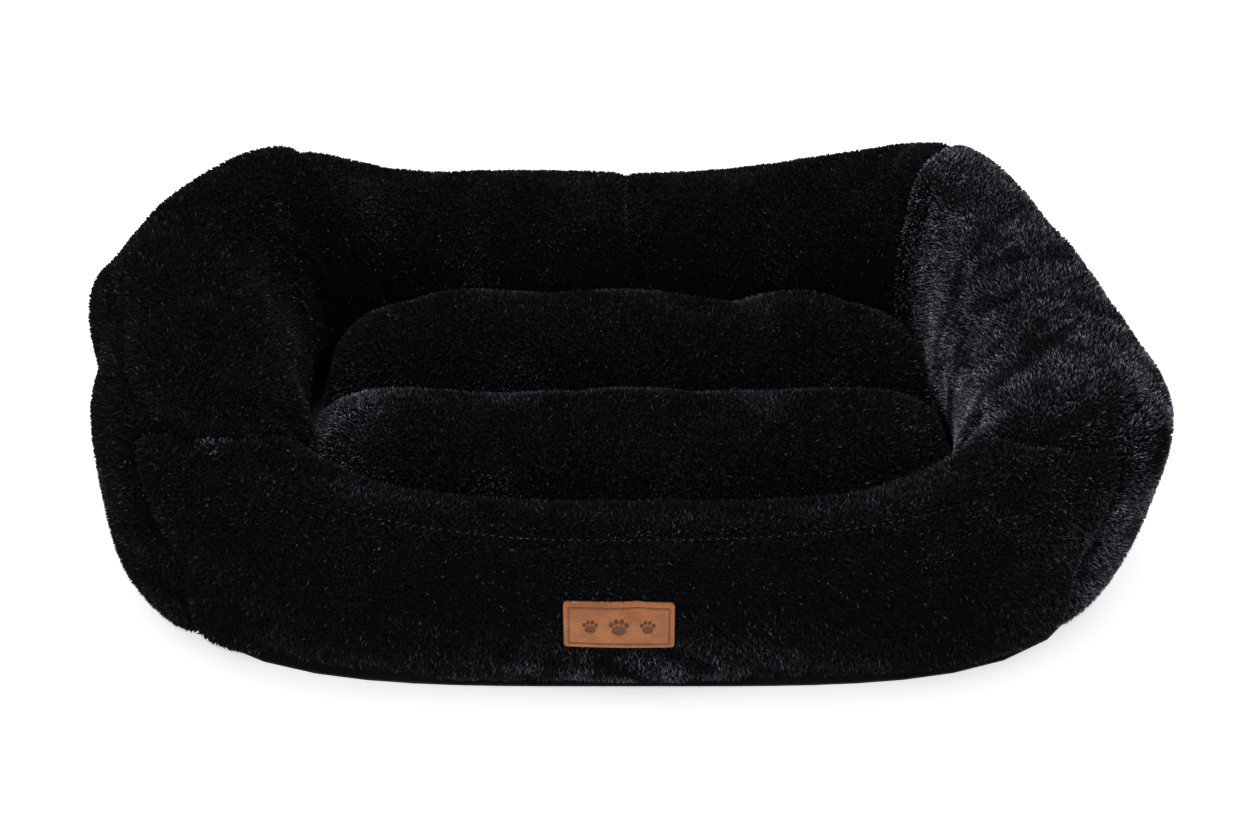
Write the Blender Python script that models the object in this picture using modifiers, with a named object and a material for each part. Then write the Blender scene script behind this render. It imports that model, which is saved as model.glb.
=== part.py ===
"""Pet cushion bed: four stuffed plush bolsters in a ring round a loose, channel-sewn cushion.

Metres, +Z up, -Y is the low front that a pet steps over. The origin is under the middle of the
bed, on the surface that it stands on.
"""
import math

import bpy
from mathutils import Matrix, Vector

# ---- driving dimensions: the bolster ring ----
RAIL_HALF_WIDTH = 0.277        # the ring's centre line, to the left and right
RAIL_HALF_DEPTH = 0.200        # the same, to the front and rear
RAIL_SQUARENESS = 4.0          # exponent of the rounded rectangle that the centre line follows
FRONT_HALF_THICKNESS = 0.043
REAR_HALF_THICKNESS = 0.060
SIDE_HALF_THICKNESS = 0.069
FRONT_HEIGHT = 0.110           # tops of the four bolsters at their middles
REAR_HEIGHT = 0.138
SIDE_HEIGHT = 0.162
FRONT_CORNER_HEIGHT = 0.156
REAR_CORNER_HEIGHT = 0.178
SECTION_SQUARENESS = 2.6       # exponent of a bolster's rounded section
LEFT_SPLAY = 0.014             # the left bolster stands out towards the rear
RIGHT_SLIM = 0.020             # the right bolster is thinner towards the rear
SLUMP_START, SLUMP_END = -0.10, 0.10
LEAN_START, LEAN_END = -0.13, 0.05
LEFT_LEAN, RIGHT_LEAN = 0.019, 0.005       # tops of the side bolsters lean outwards
LEFT_TUCK, RIGHT_TUCK, FRONT_TUCK = 0.010, 0.024, 0.003    # outsides draw in near the ground
RIGHT_RISE, LEFT_RISE = 1.6, 4.0           # exponents of the rear top's rise to its corners

# ---- layers ----
GAP = 0.0004                   # clearance between neighbouring pieces
BASE_SHEET = 0.0012
PLUSH = 0.0025                 # backing and pile of one plush panel
BAFFLE = 0.0010
CORNER_SEAM = 0.0024           # opening between two panels at a corner, where the stitches sit
WADDING = 0.0060
FOOT_FLAT = 0.005              # how far a bolster's underside is pressed flat
RING_FLOOR = BASE_SHEET + GAP  # lowest level of the bolster panels
FILL_INSET = PLUSH + 0.0020     # fillings stay clear of the panels, which are made of flat facets

# ---- seams of a bolster, as angles round its section (0 outside, 90 on top, 180 inside) ----
FOOT_OUTSIDE, FOOT_INSIDE = -66, 246
RIM_SEAM_FRONT, RIM_SEAM_SIDE, RIM_SEAM_REAR = 74, 54, 62

# ---- leather patch on the front ----
PATCH_WIDTH, PATCH_HEIGHT, PATCH_THICKNESS = 0.064, 0.030, 0.0018
PATCH_CENTRE_X, PATCH_CENTRE_Z = 0.002, 0.064

# ---- loose cushion ----
CUSHION_HALF_WIDTH = 0.196
CUSHION_FRONT, CUSHION_REAR = -0.152, 0.122
CHANNEL_Y = -0.004             # sewn channel across the cushion
CUSHION_CENTRE_X = 0.0075
CUSHION_SQUARENESS = 6.0       # exponent of its rounded corners
EDGE_LEVEL = 0.038             # height of the cushion's edge seam
CROWN = 0.050                  # top of a lobe above the edge seam
CHANNEL_RISE = 0.010           # top cover above the edge seam in the channel
FILL_MARGIN, FILL_DROP = 0.009, 0.006   # how far a lobe's filling stays inside the cover
FILL_EDGE = 0.001
CUSHION_LIFT_CLEARANCE = 0.0008
ZIP_LENGTH, ZIP_TAPE_HEIGHT, ZIP_TAPE_THICKNESS = 0.240, 0.008, 0.0009
ZIP_SLIDER_SIZE = (0.010, 0.0026, 0.008)
ZIP_SLIDER_START_X = -0.112

BED, TOOLS = "pet_cushion_bed", "cutters"


# ---------------------------------------------------------------- scene and materials
def empty_scene():
    for thing in list(bpy.data.objects):
        bpy.data.objects.remove(thing, do_unlink=True)


def collection(name):
    made = bpy.data.collections.new(name)
    bpy.context.scene.collection.children.link(made)
    return made


def finish(name, colour, roughness, metallic=0.0):
    material = bpy.data.materials.new(name)
    material.use_nodes = True
    shader = material.node_tree.nodes["Principled BSDF"]
    shader.inputs["Base Color"].default_value = (*colour, 1.0)
    shader.inputs["Roughness"].default_value = roughness
    shader.inputs["Metallic"].default_value = metallic
    return material


def plush(name):
    return finish(name, (0.006, 0.006, 0.007), 0.95)


def fibre(name):
    return finish(name, (0.78, 0.78, 0.76), 1.0)


def base_cloth(name):
    return finish(name, (0.012, 0.012, 0.013), 0.85)


def leather(name):
    return finish(name, (0.40, 0.15, 0.05), 0.55)


def zip_tape_cloth(name):
    return finish(name, (0.010, 0.010, 0.011), 0.8)


def zip_metal(name):
    return finish(name, (0.05, 0.05, 0.055), 0.35, 1.0)


# ---------------------------------------------------------------- object helpers
def place(name, data, material, parent):
    made = bpy.data.objects.new(name, data)
    BED_COLLECTION.objects.link(made)
    data.materials.append(material)
    made.parent = parent
    made.matrix_parent_inverse = Matrix.Identity(4)
    return made


def shade(mesh):
    mesh.shade_smooth()
    mesh.set_sharp_from_angle(angle=math.radians(50))


def grid_mesh(name, rows):
    """An open sheet from rows of points, its faces' normals on the left of rows and columns."""
    count = len(rows[0])
    points = [p for row in rows for p in row]
    faces = [(i * count + j, (i + 1) * count + j, (i + 1) * count + j + 1, i * count + j + 1)
             for i in range(len(rows) - 1) for j in range(count - 1)]
    mesh = bpy.data.meshes.new(name)
    mesh.from_pydata(points, [], faces)
    shade(mesh)
    return mesh


def loft_mesh(name, sections):
    """A closed solid through closed sections, with flat ends."""
    count = len(sections[0])
    points = [p for section in sections for p in section]
    faces = []
    for i in range(len(sections) - 1):
        for j in range(count):
            k = (j + 1) % count
            faces.append((i * count + j, (i + 1) * count + j, (i + 1) * count + k, i * count + k))
    last = (len(sections) - 1) * count
    faces.append(tuple(range(count)))
    faces.append(tuple(last + j for j in reversed(range(count))))
    mesh = bpy.data.meshes.new(name)
    mesh.from_pydata(points, [], faces)
    shade(mesh)
    return mesh


def thicken(made, thickness, outwards=False):
    shell = made.modifiers.new("thickness", "SOLIDIFY")
    shell.thickness = thickness
    shell.offset = 1.0 if outwards else -1.0
    shell.use_even_offset = False
    return made


def flat_sheet(name, outline, low, thickness, material, parent):
    """A flat sheet with the given outline, its underside at the height low."""
    curve = bpy.data.curves.new(name, "CURVE")
    curve.dimensions = "2D"
    curve.fill_mode = "BOTH"
    curve.extrude = thickness / 2
    spline = curve.splines.new("POLY")
    spline.points.add(len(outline) - 1)
    for point, (x, y) in zip(spline.points, outline):
        point.co = (x, y, 0.0, 1.0)
    spline.use_cyclic_u = True
    sheet = place(name, curve, material, parent)
    sheet.location.z = low + thickness / 2
    return sheet


# ---------------------------------------------------------------- the bolster ring
def power(value, exponent):
    return math.copysign(abs(value) ** exponent, value)


def smooth(value, low, high):
    t = min(max((value - low) / (high - low), 0.0), 1.0)
    return t * t * (3 - 2 * t)


def rail_point(turn):
    c, s = math.cos(turn), math.sin(turn)
    n = RAIL_SQUARENESS
    reach = (abs(c / RAIL_HALF_WIDTH) ** n + abs(s / RAIL_HALF_DEPTH) ** n) ** (-1 / n)
    return reach * c, reach * s


def station(turn):
    """Centre, outward normal, half thickness, height, rim seam angle, lean and tuck at one turn."""
    x, y = rail_point(turn)
    gx = power(x / RAIL_HALF_WIDTH, RAIL_SQUARENESS - 1) / RAIL_HALF_WIDTH
    gy = power(y / RAIL_HALF_DEPTH, RAIL_SQUARENESS - 1) / RAIL_HALF_DEPTH
    normal = Vector((gx, gy, 0.0)).normalized()
    front, rear = max(-normal.y, 0.0) ** 2, max(normal.y, 0.0) ** 2
    side = normal.x ** 2
    across, along = abs(x) / RAIL_HALF_WIDTH, y / RAIL_HALF_DEPTH
    corner = FRONT_CORNER_HEIGHT + (REAR_CORNER_HEIGHT - FRONT_CORNER_HEIGHT) * (along + 1) / 2
    height = (front * (corner + (FRONT_HEIGHT - corner) * (1 - across ** 2.4))
              + rear * (corner + (REAR_HEIGHT - corner)
                        * (1 - across ** (RIGHT_RISE if x > 0 else LEFT_RISE)))
              + side * (corner + (SIDE_HEIGHT - corner) * (1 - along ** 2)))
    half = front * FRONT_HALF_THICKNESS + rear * REAR_HALF_THICKNESS + side * SIDE_HALF_THICKNESS
    slump = smooth(y, SLUMP_START, SLUMP_END)
    lean = side * (RIGHT_LEAN if x > 0 else LEFT_LEAN * smooth(y, LEAN_START, LEAN_END))
    tuck = side * (RIGHT_TUCK if x > 0 else LEFT_TUCK) + front * FRONT_TUCK
    if x > 0:
        half -= side * RIGHT_SLIM * slump
        x -= side * RIGHT_SLIM * slump
    else:
        x -= side * LEFT_SPLAY * slump
    rim = front * RIM_SEAM_FRONT + side * RIM_SEAM_SIDE + rear * RIM_SEAM_REAR
    return Vector((x, y, 0.0)), normal, half, height, rim, lean, tuck


def ring_point(turn, angle, inset=0.0, along=0.0):
    """A point of the ring's surface, inset into the bolster and moved along the ring."""
    centre, normal, half, height, _, lean, tuck = station(turn)
    tangent = Vector((-normal.y, normal.x, 0.0))
    c, s = math.cos(math.radians(angle)), math.sin(math.radians(angle))
    out = (half - inset) * power(c, 2 / SECTION_SQUARENESS)
    tall = (height + FOOT_FLAT) / 2
    rise = (tall - inset) * power(s, 2 / SECTION_SQUARENESS)
    level = max(tall - FOOT_FLAT + rise, inset) + RING_FLOOR
    share = min(level / height, 1.0)
    out += lean * smooth(share, 0.2, 1.0) - tuck * (1 - share) ** 2 * max(c, 0.0)
    point = centre + normal * out + tangent * along
    return RING_CENTRE + Vector((point.x, point.y, level))


def spread(low, high, steps):
    return [low + (high - low) * i / steps for i in range(steps + 1)]


CORNER = math.atan2(RAIL_HALF_DEPTH, RAIL_HALF_WIDTH)
RING_CENTRE = Vector((0.0, 0.0, 0.0))
# each bolster: first turn, last turn and stations along it, anticlockwise seen from above
BOLSTERS = {
    "right": (-CORNER, CORNER, 12),
    "rear": (CORNER, math.pi - CORNER, 14),
    "left": (math.pi - CORNER, math.pi + CORNER, 12),
    "front": (math.pi + CORNER, 2 * math.pi - CORNER, 14),
}
OUTER_STEPS, INNER_STEPS = 8, 12     # facets of an outer and an inner panel across their width


def ring_box_centre():
    """Middle of the ring's plan, so that the bed can be centred on the origin."""
    points = [ring_point(math.radians(t), 0) for t in range(0, 360, 1)]
    xs, ys = [p.x for p in points], [p.y for p in points]
    return Vector(((min(xs) + max(xs)) / 2, (min(ys) + max(ys)) / 2, 0.0))


def end_shift(index, last, clearance):
    if index == 0:
        return clearance
    return -clearance if index == last else 0.0


def rim_angle(turn):
    return station(turn)[4]


def section_angles(turn):
    """Angles all round a section, at the facets of the panels that cover it."""
    outer = spread(FOOT_OUTSIDE, rim_angle(turn), OUTER_STEPS)
    inner = spread(rim_angle(turn), FOOT_INSIDE, INNER_STEPS)
    return outer + inner[1:] + [263, 277]


def bolster_fill(side, parent):
    low, high, steps = BOLSTERS[side]
    clearance = BAFFLE / 2 + GAP
    sections = [[ring_point(turn, a, FILL_INSET, end_shift(i, steps, clearance))
                 for a in section_angles(turn)]
                for i, turn in enumerate(spread(low, high, steps))]
    name = side + "_bolster_fill"
    return place(name, loft_mesh(name, sections), fibre(name), parent)


def panel(name, turns, first, last, steps, parent):
    """A plush panel over part of the ring: first and last give the seam angles at a turn."""
    count = len(turns) - 1
    rows = []
    for i, turn in enumerate(turns):
        shift = end_shift(i, count, CORNER_SEAM / 2)
        rows.append([ring_point(turn, a, 0.0, shift)
                     for a in spread(first(turn), last(turn), steps)])
    made = place(name, grid_mesh(name, rows), plush(name), parent)
    return thicken(made, PLUSH)


SEAM_CLEARANCE = 1.0           # degrees of section left free on each side of the rim seam


def outer_panel(side, parent):
    low, high, steps = BOLSTERS[side]
    panel(side + "_outer_panel", spread(low, high, steps), lambda turn: FOOT_OUTSIDE,
          lambda turn: rim_angle(turn) - SEAM_CLEARANCE, OUTER_STEPS, parent)


def inner_panel(name, side, low_part, high_part, parent):
    """The panel over the top and down into the well, over a part (0 to 1) of one bolster."""
    low, high, steps = BOLSTERS[side]
    first = low + (high - low) * low_part
    last = low + (high - low) * high_part
    turns = spread(first, last, max(4, round(steps * (high_part - low_part))))
    panel(name, turns, lambda turn: rim_angle(turn) + SEAM_CLEARANCE,
          lambda turn: FOOT_INSIDE, INNER_STEPS, parent)


def corner_baffle(name, turn, parent):
    """The cloth wall inside a corner seam, between two fillings."""
    sections = [[ring_point(turn, a, FILL_INSET, shift) for a in section_angles(turn)]
                for shift in (-BAFFLE / 2, BAFFLE / 2)]
    place(name, loft_mesh(name, sections), base_cloth(name), parent)


# ---------------------------------------------------------------- base
def ring_outline(share, inset):
    """Plan outline round the ring at a share of its half thickness (+1 outside, -1 inside)."""
    outline = []
    for i in range(64):
        centre, normal, half, _, _, _, tuck = station(2 * math.pi * i / 64)
        drawn_in = 0.6 * tuck if share > 0 else 0.0
        point = RING_CENTRE + centre + normal * (half * share - inset - drawn_in)
        outline.append((point.x, point.y))
    return outline


def base(parent):
    flat_sheet("base_sheet", ring_outline(0.60, 0.0), 0.0, BASE_SHEET,
               base_cloth("base_sheet"), parent)
    inside = ring_outline(-0.84, 0.001)
    wadding_low = BASE_SHEET + GAP
    flat_sheet("base_wadding", inside, wadding_low, WADDING, fibre("base_wadding"), parent)
    flat_sheet("floor_panel", inside, wadding_low + WADDING + GAP, PLUSH,
               plush("floor_panel"), parent)
    return wadding_low + WADDING + GAP + PLUSH


# ---------------------------------------------------------------- leather patch
def angle_at_height(turn, level):
    """Section angle on the outside of the ring at a height above the ground."""
    height = station(turn)[3]
    tall = (height + FOOT_FLAT) / 2
    share = (level - RING_FLOOR - tall + FOOT_FLAT) / tall
    return math.degrees(math.asin(power(share, SECTION_SQUARENESS / 2)))


def turn_at_x(x):
    """Turn of the ring's front at which its centre line passes x."""
    reach = x - RING_CENTRE.x
    return 1.5 * math.pi + math.atan2(reach, RAIL_HALF_DEPTH)


def leather_patch(parent):
    turns = spread(turn_at_x(PATCH_CENTRE_X - PATCH_WIDTH / 2),
                   turn_at_x(PATCH_CENTRE_X + PATCH_WIDTH / 2), 8)
    rows = []
    for turn in turns:
        low = angle_at_height(turn, PATCH_CENTRE_Z - PATCH_HEIGHT / 2)
        high = angle_at_height(turn, PATCH_CENTRE_Z + PATCH_HEIGHT / 2)
        rows.append([ring_point(turn, a, -GAP) for a in spread(low, high, 4)])
    made = place("leather_patch", grid_mesh("leather_patch", rows), leather("leather_patch"), parent)
    thicken(made, PATCH_THICKNESS, outwards=True)


# ---------------------------------------------------------------- cushion
def bulge(t):
    """Fullness across one lobe, 1 in its middle and 0 at t = -1 and 1."""
    return max(1 - abs(t) ** 2.6, 0.0) ** (1 / 2.2)


def lobe_profile(y):
    """Fullness of the covers across the cushion's depth, 0 at its edges and low in the channel."""
    front_lobe = y < CHANNEL_Y
    low, high = (CUSHION_FRONT, CHANNEL_Y) if front_lobe else (CHANNEL_Y, CUSHION_REAR)
    middle, reach = (low + high) / 2, (high - low) / 2
    towards_channel = (y > middle) == front_lobe
    floor = CHANNEL_RISE / CROWN if towards_channel else 0.0
    return floor + (1 - floor) * bulge((y - middle) / reach)


def width_profile(u):
    return (1 - abs(u) ** 5) ** (1 / 2.4)


def cushion_top(u, y):
    return EDGE_LEVEL + GAP + PLUSH + CROWN * width_profile(u) * lobe_profile(y)


def cushion_under(u, y, floor):
    edge = EDGE_LEVEL - GAP - PLUSH
    return edge - (edge - floor) * min(1.0, 1.6 * width_profile(u) * lobe_profile(y))


def cushion_plan(u, y):
    """Plan place of a cushion point, with the corners of the rectangle drawn in and rounded."""
    middle, reach = (CUSHION_FRONT + CUSHION_REAR) / 2, (CUSHION_REAR - CUSHION_FRONT) / 2
    v = (y - middle) / reach
    square = max(abs(u), abs(v))
    rounded = (abs(u) ** CUSHION_SQUARENESS + abs(v) ** CUSHION_SQUARENESS) ** (1 / CUSHION_SQUARENESS)
    share = square / rounded if rounded > 0 else 1.0
    return CUSHION_CENTRE_X + CUSHION_HALF_WIDTH * u * share, middle + reach * v * share


def eased(steps):
    """Shares from -1 to 1, closer together at both ends."""
    return [math.sin(math.pi / 2 * s) for s in spread(-1.0, 1.0, steps)]


def lobe_rows(low, high, steps):
    middle, reach = (low + high) / 2, (high - low) / 2
    return [middle + reach * s for s in eased(steps)]


def cushion_cover(name, level, parent, flip):
    ys = lobe_rows(CUSHION_FRONT, CHANNEL_Y, 8) + lobe_rows(CHANNEL_Y, CUSHION_REAR, 8)[1:]
    rows = []
    for u in eased(16):
        row = []
        for y in ys:
            x, place_y = cushion_plan(u, y)
            row.append(Vector((x, place_y, level(u, y))))
        rows.append(row[::-1] if flip else row)
    made = place(name, grid_mesh(name, rows), plush(name), parent)
    return thicken(made, PLUSH)


def cushion_fill(name, low, high, floor, parent):
    """One lobe's filling: a loft of closed sections along the cushion's width."""
    middle, reach = (low + high) / 2, (high - low) / 2 - FILL_MARGIN
    crown = CROWN - FILL_DROP
    depth = EDGE_LEVEL - FILL_EDGE - floor - FILL_INSET - GAP
    sections = []
    for u in eased(14):
        width = width_profile(u)
        top, under = [], []
        for t in eased(8):
            x, y = cushion_plan(u * (1 - FILL_MARGIN / CUSHION_HALF_WIDTH), middle + reach * t)
            top.append(Vector((x, y, EDGE_LEVEL + FILL_EDGE + crown * width * bulge(t))))
            drop = depth * min(1.0, 1.6 * width * bulge(t))
            under.append(Vector((x, y, EDGE_LEVEL - FILL_EDGE - drop)))
        sections.append(top + under[::-1])
    place(name, loft_mesh(name, sections), fibre(name), parent)


def zip_fastener(parent):
    """Two tapes behind the rear edge seam and a slider without a puller, safe from chewing."""
    half = ZIP_LENGTH / 2
    face_y = CUSHION_REAR + GAP + ZIP_TAPE_THICKNESS / 2
    centres = {"zip_tape_upper": EDGE_LEVEL + GAP + ZIP_TAPE_HEIGHT / 2,
               "zip_tape_lower": EDGE_LEVEL - GAP - ZIP_TAPE_HEIGHT / 2}
    for name, level in centres.items():
        bpy.ops.mesh.primitive_cube_add(size=1.0)
        tape = adopt(name, zip_tape_cloth(name), parent)
        tape.data.transform(Matrix.Diagonal((2 * half, ZIP_TAPE_THICKNESS, ZIP_TAPE_HEIGHT, 1.0)))
        tape.location = (CUSHION_CENTRE_X, face_y, level)
    slide = bpy.data.objects.new("zip_slider_joint", None)
    BED_COLLECTION.objects.link(slide)
    slide.parent = parent
    slide.location = (CUSHION_CENTRE_X + ZIP_SLIDER_START_X,
                      CUSHION_REAR + 2 * GAP + ZIP_TAPE_THICKNESS + ZIP_SLIDER_SIZE[1] / 2,
                      EDGE_LEVEL)
    bpy.ops.mesh.primitive_cube_add(size=1.0)
    slider = adopt("zip_slider", zip_metal("zip_slider"), slide)
    slider.data.transform(Matrix.Diagonal((*ZIP_SLIDER_SIZE, 1.0)))
    rounding = slider.modifiers.new("rounding", "BEVEL")
    rounding.width = 0.0009
    rounding.segments = 2


def adopt(name, material, parent):
    """Names the primitive just made and moves it into the bed."""
    made = bpy.context.object
    made.name = name
    made.data.name = name
    for holder in list(made.users_collection):
        holder.objects.unlink(made)
    BED_COLLECTION.objects.link(made)
    made.data.materials.append(material)
    made.parent = parent
    return made


# ---------------------------------------------------------------- assembly
empty_scene()
BED_COLLECTION = collection(BED)
RING_CENTRE = -ring_box_centre()

bed_frame = bpy.data.objects.new("bed_frame", None)
BED_COLLECTION.objects.link(bed_frame)
floor_top = base(bed_frame)
for bolster in BOLSTERS:
    bolster_fill(bolster, bed_frame)
    outer_panel(bolster, bed_frame)
for bolster in ("right", "left", "front"):
    inner_panel(bolster + "_inner_panel", bolster, 0.0, 1.0, bed_frame)
inner_panel("rear_inner_panel_right", "rear", 0.0, 0.5, bed_frame)
inner_panel("rear_inner_panel_left", "rear", 0.5, 1.0, bed_frame)
for corner_name, corner_turn in (("rear_right_baffle", CORNER),
                                 ("rear_left_baffle", math.pi - CORNER),
                                 ("front_left_baffle", math.pi + CORNER),
                                 ("front_right_baffle", -CORNER)):
    corner_baffle(corner_name, corner_turn, bed_frame)
leather_patch(bed_frame)

cushion_joint = bpy.data.objects.new("cushion_joint", None)
BED_COLLECTION.objects.link(cushion_joint)
cushion_floor = floor_top + CUSHION_LIFT_CLEARANCE
cushion_cover("cushion_top_cover", cushion_top, cushion_joint, flip=False)
cushion_cover("cushion_under_cover", lambda u, y: cushion_under(u, y, cushion_floor),
              cushion_joint, flip=True)
cushion_fill("cushion_fill_front", CUSHION_FRONT, CHANNEL_Y, cushion_floor, cushion_joint)
cushion_fill("cushion_fill_rear", CHANNEL_Y, CUSHION_REAR, cushion_floor, cushion_joint)
zip_fastener(cushion_joint)
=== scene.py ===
"""Looks of a pet cushion bed: black plush bolsters, a channel-sewn cushion and a tan leather patch."""
import math

import bmesh
import bpy
import numpy as np
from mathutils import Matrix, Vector


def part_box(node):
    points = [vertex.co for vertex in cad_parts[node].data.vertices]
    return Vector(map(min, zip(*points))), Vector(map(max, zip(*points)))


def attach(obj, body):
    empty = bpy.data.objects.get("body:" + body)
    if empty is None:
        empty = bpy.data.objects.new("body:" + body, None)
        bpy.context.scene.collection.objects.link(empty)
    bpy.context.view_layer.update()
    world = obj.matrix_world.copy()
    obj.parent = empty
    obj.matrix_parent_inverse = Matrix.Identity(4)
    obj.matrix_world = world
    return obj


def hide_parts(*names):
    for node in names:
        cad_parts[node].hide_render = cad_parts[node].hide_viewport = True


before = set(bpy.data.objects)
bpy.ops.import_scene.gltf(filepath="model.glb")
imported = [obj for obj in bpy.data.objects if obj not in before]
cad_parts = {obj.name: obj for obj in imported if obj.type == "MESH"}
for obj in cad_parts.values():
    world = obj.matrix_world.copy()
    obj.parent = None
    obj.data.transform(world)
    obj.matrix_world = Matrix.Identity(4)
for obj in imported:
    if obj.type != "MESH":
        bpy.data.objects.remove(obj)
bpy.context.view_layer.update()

# ---- the bolster ring, by the same rule as its solids, in metres ----
RAIL_HALF_WIDTH, RAIL_HALF_DEPTH, RAIL_SQUARENESS = 0.277, 0.200, 4.0
FRONT_HALF, REAR_HALF, SIDE_HALF = 0.043, 0.060, 0.069
FRONT_HEIGHT, REAR_HEIGHT, SIDE_HEIGHT = 0.110, 0.138, 0.162
FRONT_CORNER_HEIGHT, REAR_CORNER_HEIGHT = 0.156, 0.178
SECTION_SQUARENESS = 2.6
LEFT_SPLAY, RIGHT_SLIM = 0.014, 0.020
SLUMP_START, SLUMP_END = -0.10, 0.10
LEAN_START, LEAN_END = -0.13, 0.05
LEFT_LEAN, RIGHT_LEAN = 0.019, 0.005        # tops of the side bolsters lean outwards
LEFT_TUCK, RIGHT_TUCK, FRONT_TUCK = 0.010, 0.024, 0.003     # and their outsides draw in low down
RIGHT_RISE, LEFT_RISE = 1.6, 4.0            # exponents of the rear top's rise to its corners
FOOT_FLAT, RING_FLOOR = 0.005, 0.0016
RIM_FRONT, RIM_SIDE, RIM_REAR = 74, 54, 62
CORNER = math.atan2(RAIL_HALF_DEPTH, RAIL_HALF_WIDTH)

# ---- cloth and pile ----
PILE_LENGTH, TUFT_WIDTH = 0.0036, 0.0019
TUFTS_PER_SQUARE_METRE = 410000
BAKE_CELLS = 224.0             # tufts along one side of a bake map
SHELL_INSET = 0.0015           # cloth lies under the outline that the pile's tips reach
SWELL = 0.0020      # room left for the filling to push the panels out
CELL = 0.0055                  # size of a panel's cells before it is filled
SEAM_PULL, CORNER_PULL = 0.0065, 0.0020
BOLSTERS = {"right": (-CORNER, CORNER), "rear": (CORNER, math.pi - CORNER),
            "left": (math.pi - CORNER, math.pi + CORNER),
            "front": (math.pi + CORNER, 2 * math.pi - CORNER)}


# ---------------------------------------------------------------- small helpers
def power(value, exponent):
    """A power that keeps its value's sign."""
    return np.sign(value) * np.abs(value) ** exponent


def ease(value, low, high):
    """A smooth step from 0 at low to 1 at high."""
    t = np.clip((value - low) / (high - low), 0, 1)
    return t * t * (3 - 2 * t)


def hill(value, width):
    """A smooth bump: 1 at zero, fading over the given width."""
    return np.exp(-(value / width) ** 2)


def mesh_object(name, points, faces, material, smooth=True):
    """A mesh object in the scene, made from corners and faces."""
    mesh = bpy.data.meshes.new(name)
    mesh.from_pydata([tuple(p) for p in points], [], faces)
    mesh.update()
    made = bpy.data.objects.new(name, mesh)
    bpy.context.scene.collection.objects.link(made)
    if material:
        mesh.materials.append(material)
    if smooth:
        mesh.shade_smooth()
    return made


def level_sheet(name, low, high, level, material):
    """A flat rectangle facing up between two corners."""
    corners = [(low.x, low.y, level), (high.x, low.y, level),
               (high.x, high.y, level), (low.x, high.y, level)]
    return mesh_object(name, corners, [(0, 1, 2, 3)], material, smooth=False)


def face_outwards(closed):
    """Turns a closed mesh's faces so that they all face out."""
    shape = bmesh.new()
    shape.from_mesh(closed.data)
    bmesh.ops.recalc_face_normals(shape, faces=shape.faces)
    shape.to_mesh(closed.data)
    shape.free()


def evaluated(source, name):
    """A plain mesh object of source as its modifiers leave it."""
    graph = bpy.context.evaluated_depsgraph_get()
    mesh = bpy.data.meshes.new_from_object(source.evaluated_get(graph), depsgraph=graph)
    mesh.name = name
    made = bpy.data.objects.new(name, mesh)
    bpy.context.scene.collection.objects.link(made)
    return made


def coordinates(mesh):
    """A mesh's corner places, one row each."""
    flat = np.zeros(len(mesh.vertices) * 3, np.float32)
    mesh.vertices.foreach_get("co", flat)
    return flat.reshape(-1, 3).astype(float)


def lumps(points, size, seed):
    """Smooth pseudo-random values from -1 to 1 over space, lumps of about the given size."""
    random = np.random.default_rng(seed)
    total = np.zeros(len(points))
    for _ in range(9):
        direction = random.normal(size=3)
        direction /= np.linalg.norm(direction)
        wave = (2 * math.pi / size) * random.uniform(0.6, 1.4)
        total += np.sin(points @ direction * wave + random.uniform(0, 2 * math.pi))
    return total / 3.0


# ---------------------------------------------------------------- the ring's rule
def station(turn):
    """The ring at a turn: its place in plan, its outward direction and its section's measures."""
    c, s = np.cos(turn), np.sin(turn)
    n = RAIL_SQUARENESS
    reach = (np.abs(c / RAIL_HALF_WIDTH) ** n + np.abs(s / RAIL_HALF_DEPTH) ** n) ** (-1 / n)
    x, y = reach * c, reach * s
    gx = power(x / RAIL_HALF_WIDTH, n - 1) / RAIL_HALF_WIDTH
    gy = power(y / RAIL_HALF_DEPTH, n - 1) / RAIL_HALF_DEPTH
    length = np.hypot(gx, gy)
    nx, ny = gx / length, gy / length
    front, rear, side = np.clip(-ny, 0, 1) ** 2, np.clip(ny, 0, 1) ** 2, nx ** 2
    across, along = np.abs(x) / RAIL_HALF_WIDTH, y / RAIL_HALF_DEPTH
    corner = FRONT_CORNER_HEIGHT + (REAR_CORNER_HEIGHT - FRONT_CORNER_HEIGHT) * (along + 1) / 2
    height = (front * (corner + (FRONT_HEIGHT - corner) * (1 - across ** 2.4))
              + rear * (corner + (REAR_HEIGHT - corner)
                        * (1 - across ** np.where(x > 0, RIGHT_RISE, LEFT_RISE)))
              + side * (corner + (SIDE_HEIGHT - corner) * (1 - along ** 2)))
    half = front * FRONT_HALF + rear * REAR_HALF + side * SIDE_HALF
    slump = ease(y, SLUMP_START, SLUMP_END)
    right = x > 0
    half = half - np.where(right, side * RIGHT_SLIM * slump, 0)
    x = x - side * slump * np.where(right, RIGHT_SLIM, LEFT_SPLAY)
    rim = front * RIM_FRONT + side * RIM_SIDE + rear * RIM_REAR
    lean = side * np.where(right, RIGHT_LEAN, LEFT_LEAN * ease(y, LEAN_START, LEAN_END))
    tuck = side * np.where(right, RIGHT_TUCK, LEFT_TUCK) + front * FRONT_TUCK
    return x, y, nx, ny, half, height, rim, lean, tuck


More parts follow.
